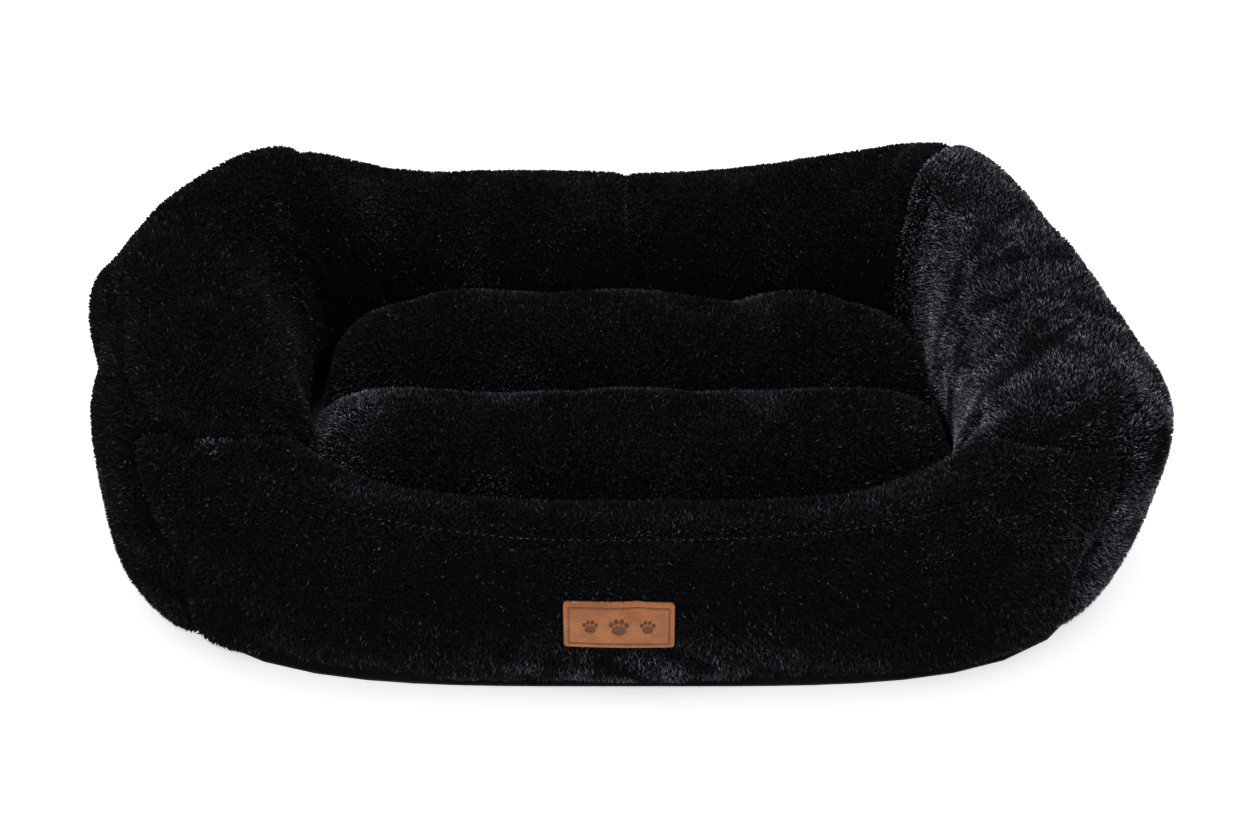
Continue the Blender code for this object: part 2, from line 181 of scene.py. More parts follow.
def ring_surface(turn, angle, out=0.0, centre=(0.0, 0.0)):
    """Points of the ring's surface; angle runs 0 outside, 90 on top, 180 in the well."""
    x, y, nx, ny, half, height, _, lean, tuck = station(turn)
    a = np.radians(angle)
    flat = (half + out) * power(np.cos(a), 2 / SECTION_SQUARENESS)
    tall = (height + FOOT_FLAT) / 2
    rise = (tall + out) * power(np.sin(a), 2 / SECTION_SQUARENESS)
    z = np.maximum(tall - FOOT_FLAT + rise, 0.0) + RING_FLOOR
    level = np.clip(z / height, 0, 1)
    flat = flat + lean * ease(level, 0.2, 1.0) - tuck * (1 - level) ** 2 * np.clip(np.cos(a), 0, 1)
    return np.stack([centre[0] + x + nx * flat, centre[1] + y + ny * flat, z], -1)


def ring_centre():
    """Where the ring's own middle is, so that its outside is centred on the origin."""
    outside = ring_surface(np.radians(np.arange(360.0)), np.zeros(360))[:, :2]
    return -(outside.min(0) + outside.max(0)) / 2


CENTRE = ring_centre()


# ---------------------------------------------------------------- node tree helpers
def group_socket(group, name, kind, way, default=None):
    """Adds an input or output to a node group."""
    socket = group.interface.new_socket(name=name, in_out=way, socket_type=kind)
    if default is not None:
        socket.default_value = default
    return socket


def put(tree, socket, value):
    """Gives an input a plain value, or links another node's output to it."""
    if isinstance(value, bpy.types.NodeSocket):
        tree.links.new(value, socket)
    else:
        socket.default_value = value


def math_node(tree, operation, *values):
    """The result of one sum on plain values or other nodes' outputs."""
    node = tree.nodes.new("ShaderNodeMath")
    node.operation = operation
    for socket, value in zip(node.inputs, values):
        put(tree, socket, value)
    return node.outputs[0]


def vector_node(tree, operation, first, second=None, scale=None):
    """The result of one vector sum."""
    node = tree.nodes.new("ShaderNodeVectorMath")
    node.operation = operation
    put(tree, node.inputs[0], first)
    if second is not None:
        put(tree, node.inputs[1], second)
    if scale is not None:
        put(tree, node.inputs["Scale"], scale)
    return node.outputs["Value" if operation == "DOT_PRODUCT" else "Vector"]


def enabled(sockets, name):
    """The socket of that name that is in use: some nodes have one for every data type."""
    return [socket for socket in sockets if socket.name == name and socket.enabled][0]


# ---------------------------------------------------------------- shader effects
def mix_colours(tree, factor, first, second):
    """First colour at factor 0, second at 1."""
    mix = tree.nodes.new("ShaderNodeMix")
    mix.data_type = "RGBA"
    put(tree, mix.inputs["Factor"], factor)
    for name, value in (("A", first), ("B", second)):
        put(tree, enabled(mix.inputs, name), value)
    return enabled(mix.outputs, "Result")


def attribute(tree, name):
    """A value stored on the surface, for a shader."""
    node = tree.nodes.new("ShaderNodeAttribute")
    node.attribute_name = name
    return node.outputs["Fac"]


def noise_of_size(tree, where, size):
    """Noise with features of about the given size."""
    noise = tree.nodes.new("ShaderNodeTexNoise")
    noise.inputs["Detail"].default_value = 3.0
    tree.links.new(math_node(tree, "DIVIDE", 1.0, size), noise.inputs["Scale"])
    tree.links.new(where, noise.inputs["Vector"])
    return noise.outputs["Fac"]


def tone_group():
    """Cloth tone: broad patches and fine grain in Object coordinates, as one colour."""
    group = bpy.data.node_groups.new("cloth tone", "ShaderNodeTree")
    for name, value in (("Patch Size", 0.06), ("Grain Size", 0.002), ("Grain Share", 0.5)):
        group_socket(group, name, "NodeSocketFloat", "INPUT", value)
    group_socket(group, "Dark", "NodeSocketColor", "INPUT", (0, 0, 0, 1))
    group_socket(group, "Light", "NodeSocketColor", "INPUT", (1, 1, 1, 1))
    group_socket(group, "Color", "NodeSocketColor", "OUTPUT")
    group_socket(group, "Mask", "NodeSocketFloat", "OUTPUT")
    nodes, links = group.nodes, group.links
    into, out = nodes.new("NodeGroupInput"), nodes.new("NodeGroupOutput")
    where = nodes.new("ShaderNodeTexCoord").outputs["Object"]
    blend = nodes.new("ShaderNodeMix")
    links.new(into.outputs["Grain Share"], blend.inputs["Factor"])
    links.new(noise_of_size(group, where, into.outputs["Patch Size"]), blend.inputs["A"])
    links.new(noise_of_size(group, where, into.outputs["Grain Size"]), blend.inputs["B"])
    stretch = nodes.new("ShaderNodeMapRange")
    stretch.interpolation_type = "SMOOTHSTEP"
    stretch.inputs["From Min"].default_value = 0.38
    stretch.inputs["From Max"].default_value = 0.66
    links.new(blend.outputs["Result"], stretch.inputs["Value"])
    mask = stretch.outputs["Result"]
    links.new(mix_colours(group, mask, into.outputs["Dark"], into.outputs["Light"]), out.inputs["Color"])
    links.new(mask, out.inputs["Mask"])
    return group


def painted_glint_group():
    """Painted glints: a tuft's own random number becomes a colour gain, mostly low, and high for the few
    tufts painted as catching the light.
    """
    group = bpy.data.node_groups.new("tuft sheen", "ShaderNodeTree")
    for name, value in (("Floor", 0.5), ("Spread", 0.5), ("Glint", 4.0), ("Rarity", 12.0)):
        group_socket(group, name, "NodeSocketFloat", "INPUT", value)
    group_socket(group, "Gain", "NodeSocketFloat", "OUTPUT")
    into, out = group.nodes.new("NodeGroupInput"), group.nodes.new("NodeGroupOutput")
    # a tuft's own random number, read from its sheen attribute; high values give painted glints
    own = attribute(group, "sheen")
    even = math_node(group, "MULTIPLY_ADD", own, into.outputs["Spread"], into.outputs["Floor"])
    rare = math_node(group, "POWER", own, into.outputs["Rarity"])
    gain = math_node(group, "MULTIPLY_ADD", rare, into.outputs["Glint"], even)
    group.links.new(gain, out.inputs["Gain"])
    return group


TONE, PAINTED_GLINT = tone_group(), painted_glint_group()


def effect(tree, group, **values):
    """A shared effect placed in a material, its inputs set by name."""
    node = tree.nodes.new("ShaderNodeGroup")
    node.node_tree = group
    for name, value in values.items():
        node.inputs[name.replace("_", " ").title()].default_value = value
    return node


def tone_node(tree, patch, grain, share, dark, light):
    """The cloth tone between a dark and a light colour."""
    return effect(tree, TONE, patch_size=patch, grain_size=grain, grain_share=share,
                  dark=(*dark, 1), light=(*light, 1))


def principled(name, colour, roughness, specular=0.3):
    """A plain material, with its node tree and its shader."""
    material = bpy.data.materials.new(name)
    material.use_nodes = True
    shader = material.node_tree.nodes["Principled BSDF"]
    shader.inputs["Base Color"].default_value = (*colour, 1)
    shader.inputs["Roughness"].default_value = roughness
    shader.inputs["Specular IOR Level"].default_value = specular
    return material, material.node_tree, shader


def raise_relief(tree, shader, height, strength, distance):
    """Gives a shader small bumps from a height."""
    relief = tree.nodes.new("ShaderNodeBump")
    relief.inputs["Strength"].default_value = strength
    relief.inputs["Distance"].default_value = distance
    tree.links.new(height, relief.inputs["Height"])
    tree.links.new(relief.outputs["Normal"], shader.inputs["Normal"])


def toned(name, dark, light, roughness, patch, grain, share, specular=0.3, relief=None):
    """A cloth or fibre material whose tone and small relief vary over the surface."""
    material, tree, shader = principled(name, light, roughness, specular)
    tone = tone_node(tree, patch, grain, share, dark, light)
    tree.links.new(tone.outputs["Color"], shader.inputs["Base Color"])
    if relief:
        raise_relief(tree, shader, tone.outputs["Mask"], *relief)
    return material


def pile_material():
    """Tufts of pile: near-black, with rare painted glints, and a painted violet-grey sheen where the nap
    attribute is high, both towards the tips.
    """
    material, tree, shader = principled("black_plush_pile", (0.006, 0.006, 0.007), 0.70, 0.018)
    calm = tone_node(tree, 0.045, 0.0030, 0.35, (0.0050, 0.0053, 0.0061), (0.0072, 0.0076, 0.0089))
    calm_gain = effect(tree, PAINTED_GLINT, floor=0.85, spread=0.3, glint=26.0, rarity=60.0)
    painted_sheen = tone_node(tree, 0.016, 0.0026, 0.5, (0.056, 0.056, 0.0664), (0.240, 0.239, 0.284))
    painted_sheen_gain = effect(tree, PAINTED_GLINT, floor=0.30, spread=0.9, glint=2.0, rarity=5.0)
    calm_colour, painted_sheen_colour = (
        vector_node(tree, "SCALE", tone.outputs["Color"], scale=gain.outputs["Gain"])
        for tone, gain in ((calm, calm_gain), (painted_sheen, painted_sheen_gain)))
    # the nap attribute mixes the painted sheen colour in over the plain one
    tip_colour = mix_colours(tree, attribute(tree, "nap"), calm_colour, painted_sheen_colour)
    towards_tip = math_node(tree, "POWER", attribute(tree, "tip"), 2.6)
    # painted glints and sheen are laid towards each tuft's tip; the root keeps a plain near-black
    colour = mix_colours(tree, towards_tip, (0.0042, 0.0045, 0.0052, 1), tip_colour)
    tree.links.new(colour, shader.inputs["Base Color"])
    return material


# ---------------------------------------------------------------- pile, by Geometry Nodes
def named(tree, name, kind):
    """A value stored on the geometry under a name."""
    node = tree.nodes.new("GeometryNodeInputNamedAttribute")
    node.data_type = kind
    node.inputs["Name"].default_value = name
    return node.outputs["Attribute"]


def keep_as(tree, geometry, name, kind, domain, value):
    """Stores a value on the geometry under a name."""
    node = tree.nodes.new("GeometryNodeStoreNamedAttribute")
    node.data_type, node.domain = kind, domain
    node.inputs["Name"].default_value = name
    tree.links.new(geometry, node.inputs["Geometry"])
    tree.links.new(value, enabled(node.inputs, "Value"))
    return node.outputs["Geometry"]


def random_value(tree, kind, low, high, seed):
    """One random value for each element."""
    node = tree.nodes.new("FunctionNodeRandomValue")
    node.data_type = kind
    enabled(node.inputs, "Min").default_value = low
    enabled(node.inputs, "Max").default_value = high
    tree.links.new(seed, node.inputs["Seed"])
    return enabled(node.outputs, "Value")


def tuft_rotation(tree, into, normal):
    """Each tuft stands on the cloth, leans with the swirling nap, strays a little and is spun."""
    seed = into.outputs["Seed"]
    swirl = tree.nodes.new("ShaderNodeTexNoise")
    swirl.inputs["Detail"].default_value = 2.0
    tree.links.new(tree.nodes.new("GeometryNodeInputPosition").outputs[0], swirl.inputs["Vector"])
    tree.links.new(math_node(tree, "DIVIDE", 1.0, into.outputs["Swirl Size"]), swirl.inputs["Scale"])
    turned = vector_node(tree, "SUBTRACT", swirl.outputs["Color"], (0.5, 0.5, 0.5))
    turned = vector_node(tree, "SCALE", turned, scale=3.2)
    nap = vector_node(tree, "ADD", named(tree, "nap_direction", "FLOAT_VECTOR"), turned)
    depth = vector_node(tree, "DOT_PRODUCT", nap, normal)
    laid = vector_node(tree, "SUBTRACT", nap, vector_node(tree, "SCALE", normal, scale=depth))
    laid = vector_node(tree, "NORMALIZE", laid)
    stray = random_value(tree, "FLOAT_VECTOR", (-1, -1, -1), (1, 1, 1), seed)
    leaning = vector_node(tree, "SCALE", laid, scale=into.outputs["Lean"])
    straying = vector_node(tree, "SCALE", stray, scale=into.outputs["Unruliness"])
    direction = vector_node(tree, "ADD", vector_node(tree, "ADD", normal, leaning), straying)
    align = tree.nodes.new("FunctionNodeAlignRotationToVector")
    align.axis = "Z"
    tree.links.new(direction, align.inputs["Vector"])
    about = tree.nodes.new("FunctionNodeAxisAngleToRotation")
    about.inputs["Axis"].default_value = (0, 0, 1)
    tree.links.new(random_value(tree, "FLOAT", 0.0, 6.283, seed), about.inputs["Angle"])
    spin = tree.nodes.new("FunctionNodeRotateRotation")
    spin.rotation_space = "LOCAL"
    tree.links.new(align.outputs["Rotation"], spin.inputs["Rotation"])
    tree.links.new(about.outputs["Rotation"], spin.inputs["Rotate By"])
    return spin.outputs["Rotation"]


def one_tuft(tree, into):
    """A spike with three sides and a base; it keeps its tip at 1, its root at 0, and its plan."""
    length, width = into.outputs["Pile Length"], into.outputs["Tuft Width"]
    spike = tree.nodes.new("GeometryNodeMeshCone")
    spike.fill_type = "NGON"
    spike.inputs["Vertices"].default_value = 3
    spike.inputs["Radius Top"].default_value = 0.0
    tree.links.new(math_node(tree, "DIVIDE", width, 2.0), spike.inputs["Radius Bottom"])
    tree.links.new(length, spike.inputs["Depth"])
    spot = tree.nodes.new("GeometryNodeInputPosition").outputs[0]
    parts = tree.nodes.new("ShaderNodeSeparateXYZ")
    tree.links.new(spot, parts.inputs[0])
    raised = math_node(tree, "GREATER_THAN", parts.outputs["Z"], math_node(tree, "MULTIPLY", length, 0.25))
    tuft = keep_as(tree, spike.outputs["Mesh"], "tip", "FLOAT", "POINT", raised)
    plan = vector_node(tree, "DIVIDE", spot, width)
    return keep_as(tree, tuft, "plan", "FLOAT_VECTOR", "POINT", plan)


def own_cells(tree, into, geometry):
    """Gives each tuft its own cell of the bake map."""
    tuft, cells = named(tree, "tuft", "FLOAT"), into.outputs["Bake Cells"]
    corner = tree.nodes.new("ShaderNodeCombineXYZ")
    tree.links.new(math_node(tree, "MODULO", tuft, cells), corner.inputs["X"])
    row = math_node(tree, "FLOOR", math_node(tree, "DIVIDE", tuft, cells))
    tree.links.new(row, corner.inputs["Y"])
    middle = vector_node(tree, "ADD", corner.outputs[0], (0.5, 0.5, 0.0))
    spread = vector_node(tree, "SCALE", named(tree, "plan", "FLOAT_VECTOR"), scale=0.85)
    cell = vector_node(tree, "ADD", middle, spread)
    share = vector_node(tree, "SCALE", cell, scale=math_node(tree, "DIVIDE", 1.0, cells))
    return keep_as(tree, geometry, "OFBake", "FLOAT2", "CORNER", share)


def realised_with(tree, into, out, instances, finish=lambda geometry: geometry):
    """Ends a tree: real geometry, finished, in the wanted material."""
    real = tree.nodes.new("GeometryNodeRealizeInstances")
    tree.links.new(instances, real.inputs["Geometry"])
    coat = tree.nodes.new("GeometryNodeSetMaterial")
    tree.links.new(finish(real.outputs["Geometry"]), coat.inputs["Geometry"])
    tree.links.new(into.outputs["Material"], coat.inputs["Material"])
    tree.links.new(coat.outputs["Geometry"], out.inputs["Geometry"])


def new_modifier_tree(name, numbers):
    """A Geometry Nodes tree with number inputs and a material input."""
    tree = bpy.data.node_groups.new(name, "GeometryNodeTree")
    tree.is_modifier = True
    group_socket(tree, "Geometry", "NodeSocketGeometry", "INPUT")
    for label, value in numbers:
        kind = "NodeSocketInt" if isinstance(value, int) else "NodeSocketFloat"
        group_socket(tree, label, kind, "INPUT", value)
    group_socket(tree, "Material", "NodeSocketMaterial", "INPUT")
    group_socket(tree, "Geometry", "NodeSocketGeometry", "OUTPUT")
    return tree, tree.nodes.new("NodeGroupInput"), tree.nodes.new("NodeGroupOutput")


def pile_tree():
    """Tufts over a mesh, as thick as its pile attribute says, each with its own place to bake."""
    tree, into, out = new_modifier_tree("plush pile", (
        ("Tufts Per Square Metre", 1e5), ("Pile Length", 0.006), ("Tuft Width", 0.0015), ("Lean", 0.8),
        ("Swirl Size", 0.05), ("Unruliness", 0.6), ("Bake Cells", 220.0), ("Seed", 1)))
    seed = into.outputs["Seed"]
    scatter = tree.nodes.new("GeometryNodeDistributePointsOnFaces")
    scatter.distribute_method = "RANDOM"
    tree.links.new(into.outputs["Geometry"], scatter.inputs["Mesh"])
    thickness = named(tree, "pile", "FLOAT")
    density = math_node(tree, "MULTIPLY", into.outputs["Tufts Per Square Metre"], thickness)
    tree.links.new(density, scatter.inputs["Density"])
    tree.links.new(seed, scatter.inputs["Seed"])
    copies = tree.nodes.new("GeometryNodeInstanceOnPoints")
    tree.links.new(scatter.outputs["Points"], copies.inputs["Points"])
    tree.links.new(one_tuft(tree, into), copies.inputs["Instance"])
    tree.links.new(tuft_rotation(tree, into, scatter.outputs["Normal"]), copies.inputs["Rotation"])
    tree.links.new(random_value(tree, "FLOAT", 0.75, 1.10, seed), copies.inputs["Scale"])
    number = tree.nodes.new("GeometryNodeInputIndex").outputs[0]
    tufts = keep_as(tree, copies.outputs["Instances"], "tuft", "FLOAT", "INSTANCE", number)
    # each tuft's random number for its painted glint, kept under the name sheen
    luck = random_value(tree, "FLOAT", 0.0, 1.0, seed)
    tufts = keep_as(tree, tufts, "sheen", "FLOAT", "INSTANCE", luck)
    realised_with(tree, into, out, tufts, lambda geometry: own_cells(tree, into, geometry))
    return tree


def set_input(modifier, name, value):
    """Sets a modifier's input by its socket's identifier."""
    for item in modifier.node_group.interface.items_tree:
        if item.item_type == "SOCKET" and item.in_out == "INPUT" and item.name == name:
            modifier[item.identifier] = value
            return
    raise KeyError(name)


PILE = pile_tree()


def grow_pile(source, name, body, seed, mask, material, share=1.0, lean=0.18, length=PILE_LENGTH):
    """Tufts over the part of source that the mask picks, as one plain mesh that rides on body."""
    host = bpy.data.objects.new(name + "_host", source.data.copy())
    bpy.context.scene.collection.objects.link(host)
    store(host, "pile", mask)
    grower = host.modifiers.new("pile", "NODES")
    grower.node_group = PILE
    for label, value in (("Tufts Per Square Metre", TUFTS_PER_SQUARE_METRE * share),
                         ("Pile Length", length), ("Tuft Width", TUFT_WIDTH), ("Lean", lean),
                         ("Seed", seed), ("Bake Cells", BAKE_CELLS), ("Material", material)):
        set_input(grower, label, value)
    made = evaluated(host, name)
    bpy.data.objects.remove(host)
    points = coordinates(made.data)
    points[:, 2] = np.maximum(points[:, 2], 0.0004)
    made.data.vertices.foreach_set("co", points.astype(np.float32).ravel())
    for extra in ("tuft", "plan", "pile", "nap_direction", "wrap", "end", "seam"):
        if extra in made.data.attributes:
            made.data.attributes.remove(made.data.attributes[extra])
    made.data.update()
    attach(made, body)
    return made


def store(made, name, values):
    """A number for each point of a mesh, kept under a name."""
    kept = made.data.attributes.get(name) or made.data.attributes.new(name, "FLOAT", "POINT")
    kept.data.foreach_set("value", np.asarray(values, np.float32))


def stored(made, name):
    """The values kept on a mesh under a name."""
    values = np.zeros(len(made.data.vertices), np.float32)
    made.data.attributes[name].data.foreach_get("value", values)
    return values.astype(float)


def lay_nap(made, direction):
    """The way the pile lies, the same over the whole form before it swirls."""
    nap = made.data.attributes.new("nap_direction", "FLOAT_VECTOR", "POINT")
    nap.data.foreach_set("vector", np.tile(direction, len(made.data.vertices)).astype(np.float32))


# ---------------------------------------------------------------- filling the panels
def inflate(soft, pins, pressure, growth, cap, frames=20):
    """Swells a closed cloth form by simulation; pinned seams stay, no point moves past the cap."""
    before = coordinates(soft.data)
    group = soft.vertex_groups.new(name="seams")
    group.add([int(i) for i in pins], 1.0, "REPLACE")
    cloth = soft.modifiers.new("filling", "CLOTH")
    rules = cloth.settings
    rules.quality = 5
    rules.mass = 0.25
    rules.use_pressure = True
    rules.uniform_pressure_force = pressure
    rules.vertex_group_mass = "seams"
    rules.effector_weights.gravity = 0.0
    rules.tension_stiffness = 12.0
    rules.compression_stiffness = 12.0
    rules.shear_stiffness = 6.0
    rules.bending_stiffness = 0.4
    rules.shrink_min = -growth
    cloth.collision_settings.use_collision = False
    cloth.point_cache.frame_start = 1
    cloth.point_cache.frame_end = frames
    scene = bpy.context.scene
    for number in range(1, frames + 1):
        scene.frame_set(number)
    graph = bpy.context.evaluated_depsgraph_get()
    after = coordinates(soft.evaluated_get(graph).data)
    move = after - before
    length = np.linalg.norm(move, axis=1, keepdims=True)
    move *= np.minimum(1.0, cap / np.maximum(length, 1e-9))
    soft.modifiers.remove(cloth)
    scene.frame_set(1)
    soft.data.vertices.foreach_set("co", (before + move).astype(np.float32).ravel())
    soft.data.update()


def refined(soft, levels=1):
    """A smooth, subdivided copy that takes the form's place and name."""
    finer = soft.modifiers.new("refine", "SUBSURF")
    finer.levels = finer.render_levels = levels
    name = soft.name
    soft.name = name + "_coarse"
    made = evaluated(soft, name)
    bpy.data.objects.remove(soft)
    made.data.shade_smooth()
    return made


# ---------------------------------------------------------------- bolsters
def even_angles(turn, outer_cells, inner_cells):
    """Section angles evenly spaced along the cloth, with one on the rim seam."""
    dense = np.linspace(-90, 270, 721)
    points = ring_surface(np.full_like(dense, turn), dense, 0.0, CENTRE)
    length = np.concatenate([[0], np.cumsum(np.linalg.norm(np.diff(points, axis=0), axis=1))])
    rim = np.interp(float(station(turn)[6]), dense, length)
    spots = np.concatenate([np.linspace(0, rim, outer_cells + 1),
                            np.linspace(rim, length[-1], inner_cells + 1)[1:-1]])
    return np.interp(spots, length, dense), spots - rim


# creases pressed into the right bolster, as plan points across its top, with depth and width; along the
# same lines the pile's colour is darkened as painted shade
RIGHT_CREASES = (
    (((0.275, 0.135), (0.290, 0.123)), 0.0030, 0.0060),
    (((0.278, 0.077), (0.257, 0.052), (0.236, 0.030)), 0.0040, 0.0090),
    (((0.237, 0.034), (0.261, 0.017), (0.299, 0.008)), 0.0030, 0.0060),
    (((0.236, -0.016), (0.264, -0.027), (0.300, -0.050), (0.318, -0.066)), 0.0040, 0.0065),
    (((0.230, -0.016), (0.239, -0.050)), 0.0030, 0.0060),
    (((0.270, -0.066), (0.263, -0.087)), 0.0020, 0.0050),
    (((0.282, -0.082), (0.249, -0.107), (0.225, -0.127)), 0.0030, 0.0080),
    (((0.337, -0.076), (0.335, -0.132)), 0.0010, 0.0100),
    (((0.295, -0.160), (0.260, -0.179), (0.236, -0.188)), 0.0030, 0.0070),
)


def distance_to_line(x, y, line):
    """Distance in plan to a line of straight pieces."""
    best = np.full(x.shape, 1e9)
    for (ax, ay), (bx, by) in zip(line, line[1:]):
        dx, dy = bx - ax, by - ay
        t = np.clip(((x - ax) * dx + (y - ay) * dy) / (dx * dx + dy * dy), 0, 1)
        best = np.minimum(best, np.hypot(x - ax - t * dx, y - ay - t * dy))
    return best


SEAM_LINES = {}
LEFT_SHOULDER = -8.5             # degrees; the front's left end reaches further round
RIGHT_SHOULDER = -6.0
CREASE_SHARE = 0.4               # of a crease's depth is pressed into the cloth


def seam_swing(angle, shoulder=RIGHT_SHOULDER):
    """How far a front corner seam leaves its turn: forward on its shoulder, back in the well."""
    return np.radians(np.interp(angle, (-90, 0, 50, 92, 150, 270), (-2.5, -1.5, shoulder, 1.0, 3.5, 1.0)))


class Cloth:
    """A bolster's cloth as a grid: rows step along its length, columns go round it."""

    def __init__(self, side):
        low, high = BOLSTERS[side]
        half, height = (float(v) for v in station((low + high) / 2)[4:6])
        girth = 4 * (half + height / 2) * 0.87
        self.side = side
        self.cells = int(round(girth / CELL))
        self.outer_cells = int(round(self.cells * 0.42))
        rail = np.array(station(np.linspace(low, high, 60))[:2])
        run = np.concatenate([[0], np.cumsum(np.hypot(*np.diff(rail)))])
        self.length = run[-1]
        self.steps = int(round(self.length / CELL))
        stops = np.linspace(0, self.length, self.steps + 1)
        self.turns = np.interp(stops, run, np.linspace(low, high, 60))
        rows = [even_angles(turn, self.outer_cells, self.cells - self.outer_cells)
                for turn in self.turns]
        self.angles, self.from_rim = (np.array(part) for part in zip(*rows))
        self.from_end = np.minimum(stops, np.linspace(self.length, 0, self.steps + 1))
        self.along = np.linspace(0, 1, self.steps + 1)[:, None]
        self.in_well = ease(self.angles, 105, 150)


def swung_turns(cloth):
    """The turn of every spot, with the front corner seams swung off their straight line."""
    turns = np.repeat(cloth.turns[:, None], cloth.cells, axis=1)
    if cloth.side in ("front", "left"):
        share = 1 - cloth.along if cloth.side == "front" else cloth.along
        turns = turns + seam_swing(cloth.angles, LEFT_SHOULDER) * share
    if cloth.side in ("front", "right"):
        share = cloth.along if cloth.side == "front" else 1 - cloth.along
        turns = turns - seam_swing(cloth.angles) * share
    return turns


def seam_pull(cloth):
    """How far seams and ends draw the cloth in; stuffing crowds out towards a rear corner."""
    rear_ends = {"rear": cloth.from_end, "right": cloth.length * (1 - cloth.along[:, 0]),
                 "left": cloth.length * cloth.along[:, 0]}
    to_rear_corner = rear_ends.get(cloth.side, np.full(cloth.steps + 1, 9.0))[:, None]
    sunk = CORNER_PULL * hill(cloth.from_end, 0.007) + 0.0035 * hill(cloth.from_end, 0.003)
    sunk = sunk[:, None] * np.where(to_rear_corner < 0.05, 0.15 + 0.85 * cloth.in_well, 1.0)
    pull = SHELL_INSET + SWELL + SEAM_PULL * hill(cloth.from_rim, 0.0065) + sunk
    stuffing = {"left": 0.0090, "right": 0.0100}.get(cloth.side, 0.0065)
    if cloth.side == "rear":
        stuffing = np.where(np.cos(cloth.turns) > 0, 0.0105, 0.0065)[:, None]
    return pull - stuffing * hill(to_rear_corner, 0.045) * (1 - cloth.in_well)


def sink_rear_seam(cloth, pull):
    """Draws in the rear wall's upright seam; returns how far each spot is from a seam."""
    seam_distance = np.abs(cloth.from_rim)
    if cloth.side == "rear":
        from_middle = np.abs(np.arange(cloth.steps + 1) - cloth.steps // 2) * cloth.length / cloth.steps
        pull += 0.0022 * hill(from_middle, 0.005)[:, None] * ease(cloth.from_rim, 0.0, 0.02)
        pull -= 0.0045 * hill(from_middle, 0.14)[:, None]
        across_middle = np.where(cloth.from_rim > 0, from_middle[:, None], 1.0)
        seam_distance = np.minimum(seam_distance, across_middle)
    return seam_distance


def shape_side(cloth, outer, pull):
    """What sets the sides apart: full shoulders, drawn-in inner walls, a low corner, creases."""
    side, angles = cloth.side, cloth.angles
    x, y, z = outer[..., 0], outer[..., 1], outer[..., 2]
    if side in ("left", "right"):
        shoulder = hill(angles - 62, 38) * hill(y - 0.050, 0.110)
        pull -= (0.0105 if side == "right" else 0.0070) * shoulder
        off_the_ends = ease(cloth.from_end, 0.004, 0.035)[:, None]
        pull += 0.0095 * cloth.in_well * ease(y, -0.15, 0.02) * off_the_ends
    if side == "right":
        pull += 0.0050 * hill(angles, 45) * ease(-y, 0.02, 0.12)
    if side == "left":
        pull -= 0.0055 * hill(y + 0.020, 0.040) * hill(angles - 35, 40)
    if side in ("left", "front"):
        low_corner = ease(-x, 0.20, 0.29) * ease(-y, 0.08, 0.17)
        pull -= 0.0080 * hill(angles + 35, 32) * low_corner
    if side == "right":
        on_top = ease(z, 0.085, 0.125) * ease(cloth.from_end, 0.005, 0.030)[:, None]
        for line, deep, wide in RIGHT_CREASES:
            away = distance_to_line(x, y, line)
            pull += CREASE_SHARE * deep * hill(away, wide) * on_top


def closed_tube(points):
    """Corners and faces of a tube of rings with a fan of faces over each end."""
    rings, count = points.shape[:2]
    flat = points.reshape(-1, 3)
    faces = [(i * count + j, (i + 1) * count + j, (i + 1) * count + (j + 1) % count,
              i * count + (j + 1) % count) for i in range(rings - 1) for j in range(count)]
    first, last, top = len(flat), len(flat) + 1, (rings - 1) * count
    faces += [(j, (j + 1) % count, first) for j in range(count)]
    faces += [(top + (j + 1) % count, top + j, last) for j in range(count)]
    return np.vstack([flat, points[0].mean(0), points[-1].mean(0)]), faces


def held_still(cloth, points):
    """Corners that stay put while the rest swells: both ends, the seams and the underside."""
    pinned = np.zeros(points.shape[:2], bool)
    pinned[[0, -1]] = True
    pinned[np.abs(cloth.from_rim) < 1e-6] = True
    pinned |= points[..., 2] < RING_FLOOR + 0.001
    if cloth.side == "rear":
        middle = cloth.steps // 2
        pinned[middle] |= cloth.from_rim[middle] > 0
    return list(np.flatnonzero(pinned)) + [pinned.size, pinned.size + 1]


def bolster(side, material):
    """A closed, stuffed bolster with sunken seams, swollen by simulation."""
    cloth = Cloth(side)
    turns, count = swung_turns(cloth), cloth.cells
    outer = ring_surface(turns, cloth.angles, 0.0, CENTRE)
    pull = seam_pull(cloth)
    seam_distance = sink_rear_seam(cloth, pull)
    pull -= 0.0022 * lumps(outer.reshape(-1, 3), 0.11, 3).reshape(outer.shape[:2])
    shape_side(cloth, outer, pull)
    points = ring_surface(turns, cloth.angles, -pull, CENTRE)
    made = mesh_object(side + "_bolster", *closed_tube(points), material)
    store(made, "wrap", np.append(cloth.from_rim.ravel(), (0.1, 0.1)))
    store(made, "seam", np.append(seam_distance.ravel(), (0.1, 0.1)))
    store(made, "end", np.append(np.repeat(cloth.from_end, count), (-0.03, -0.03)))
    inflate(made, held_still(cloth, points), pressure=4.0, growth=0.008, cap=0.0030)
    sewn = [[i * count + cloth.outer_cells for i in range(1, cloth.steps)]]
    if side == "rear":
        sewn.append([cloth.steps // 2 * count + j for j in range(cloth.outer_cells + 1, count - 6)])
    vertices = made.data.vertices
    SEAM_LINES[side] = [[vertices[k].co + vertices[k].normal * 0.0012 for k in line] for line in sewn]
    return made


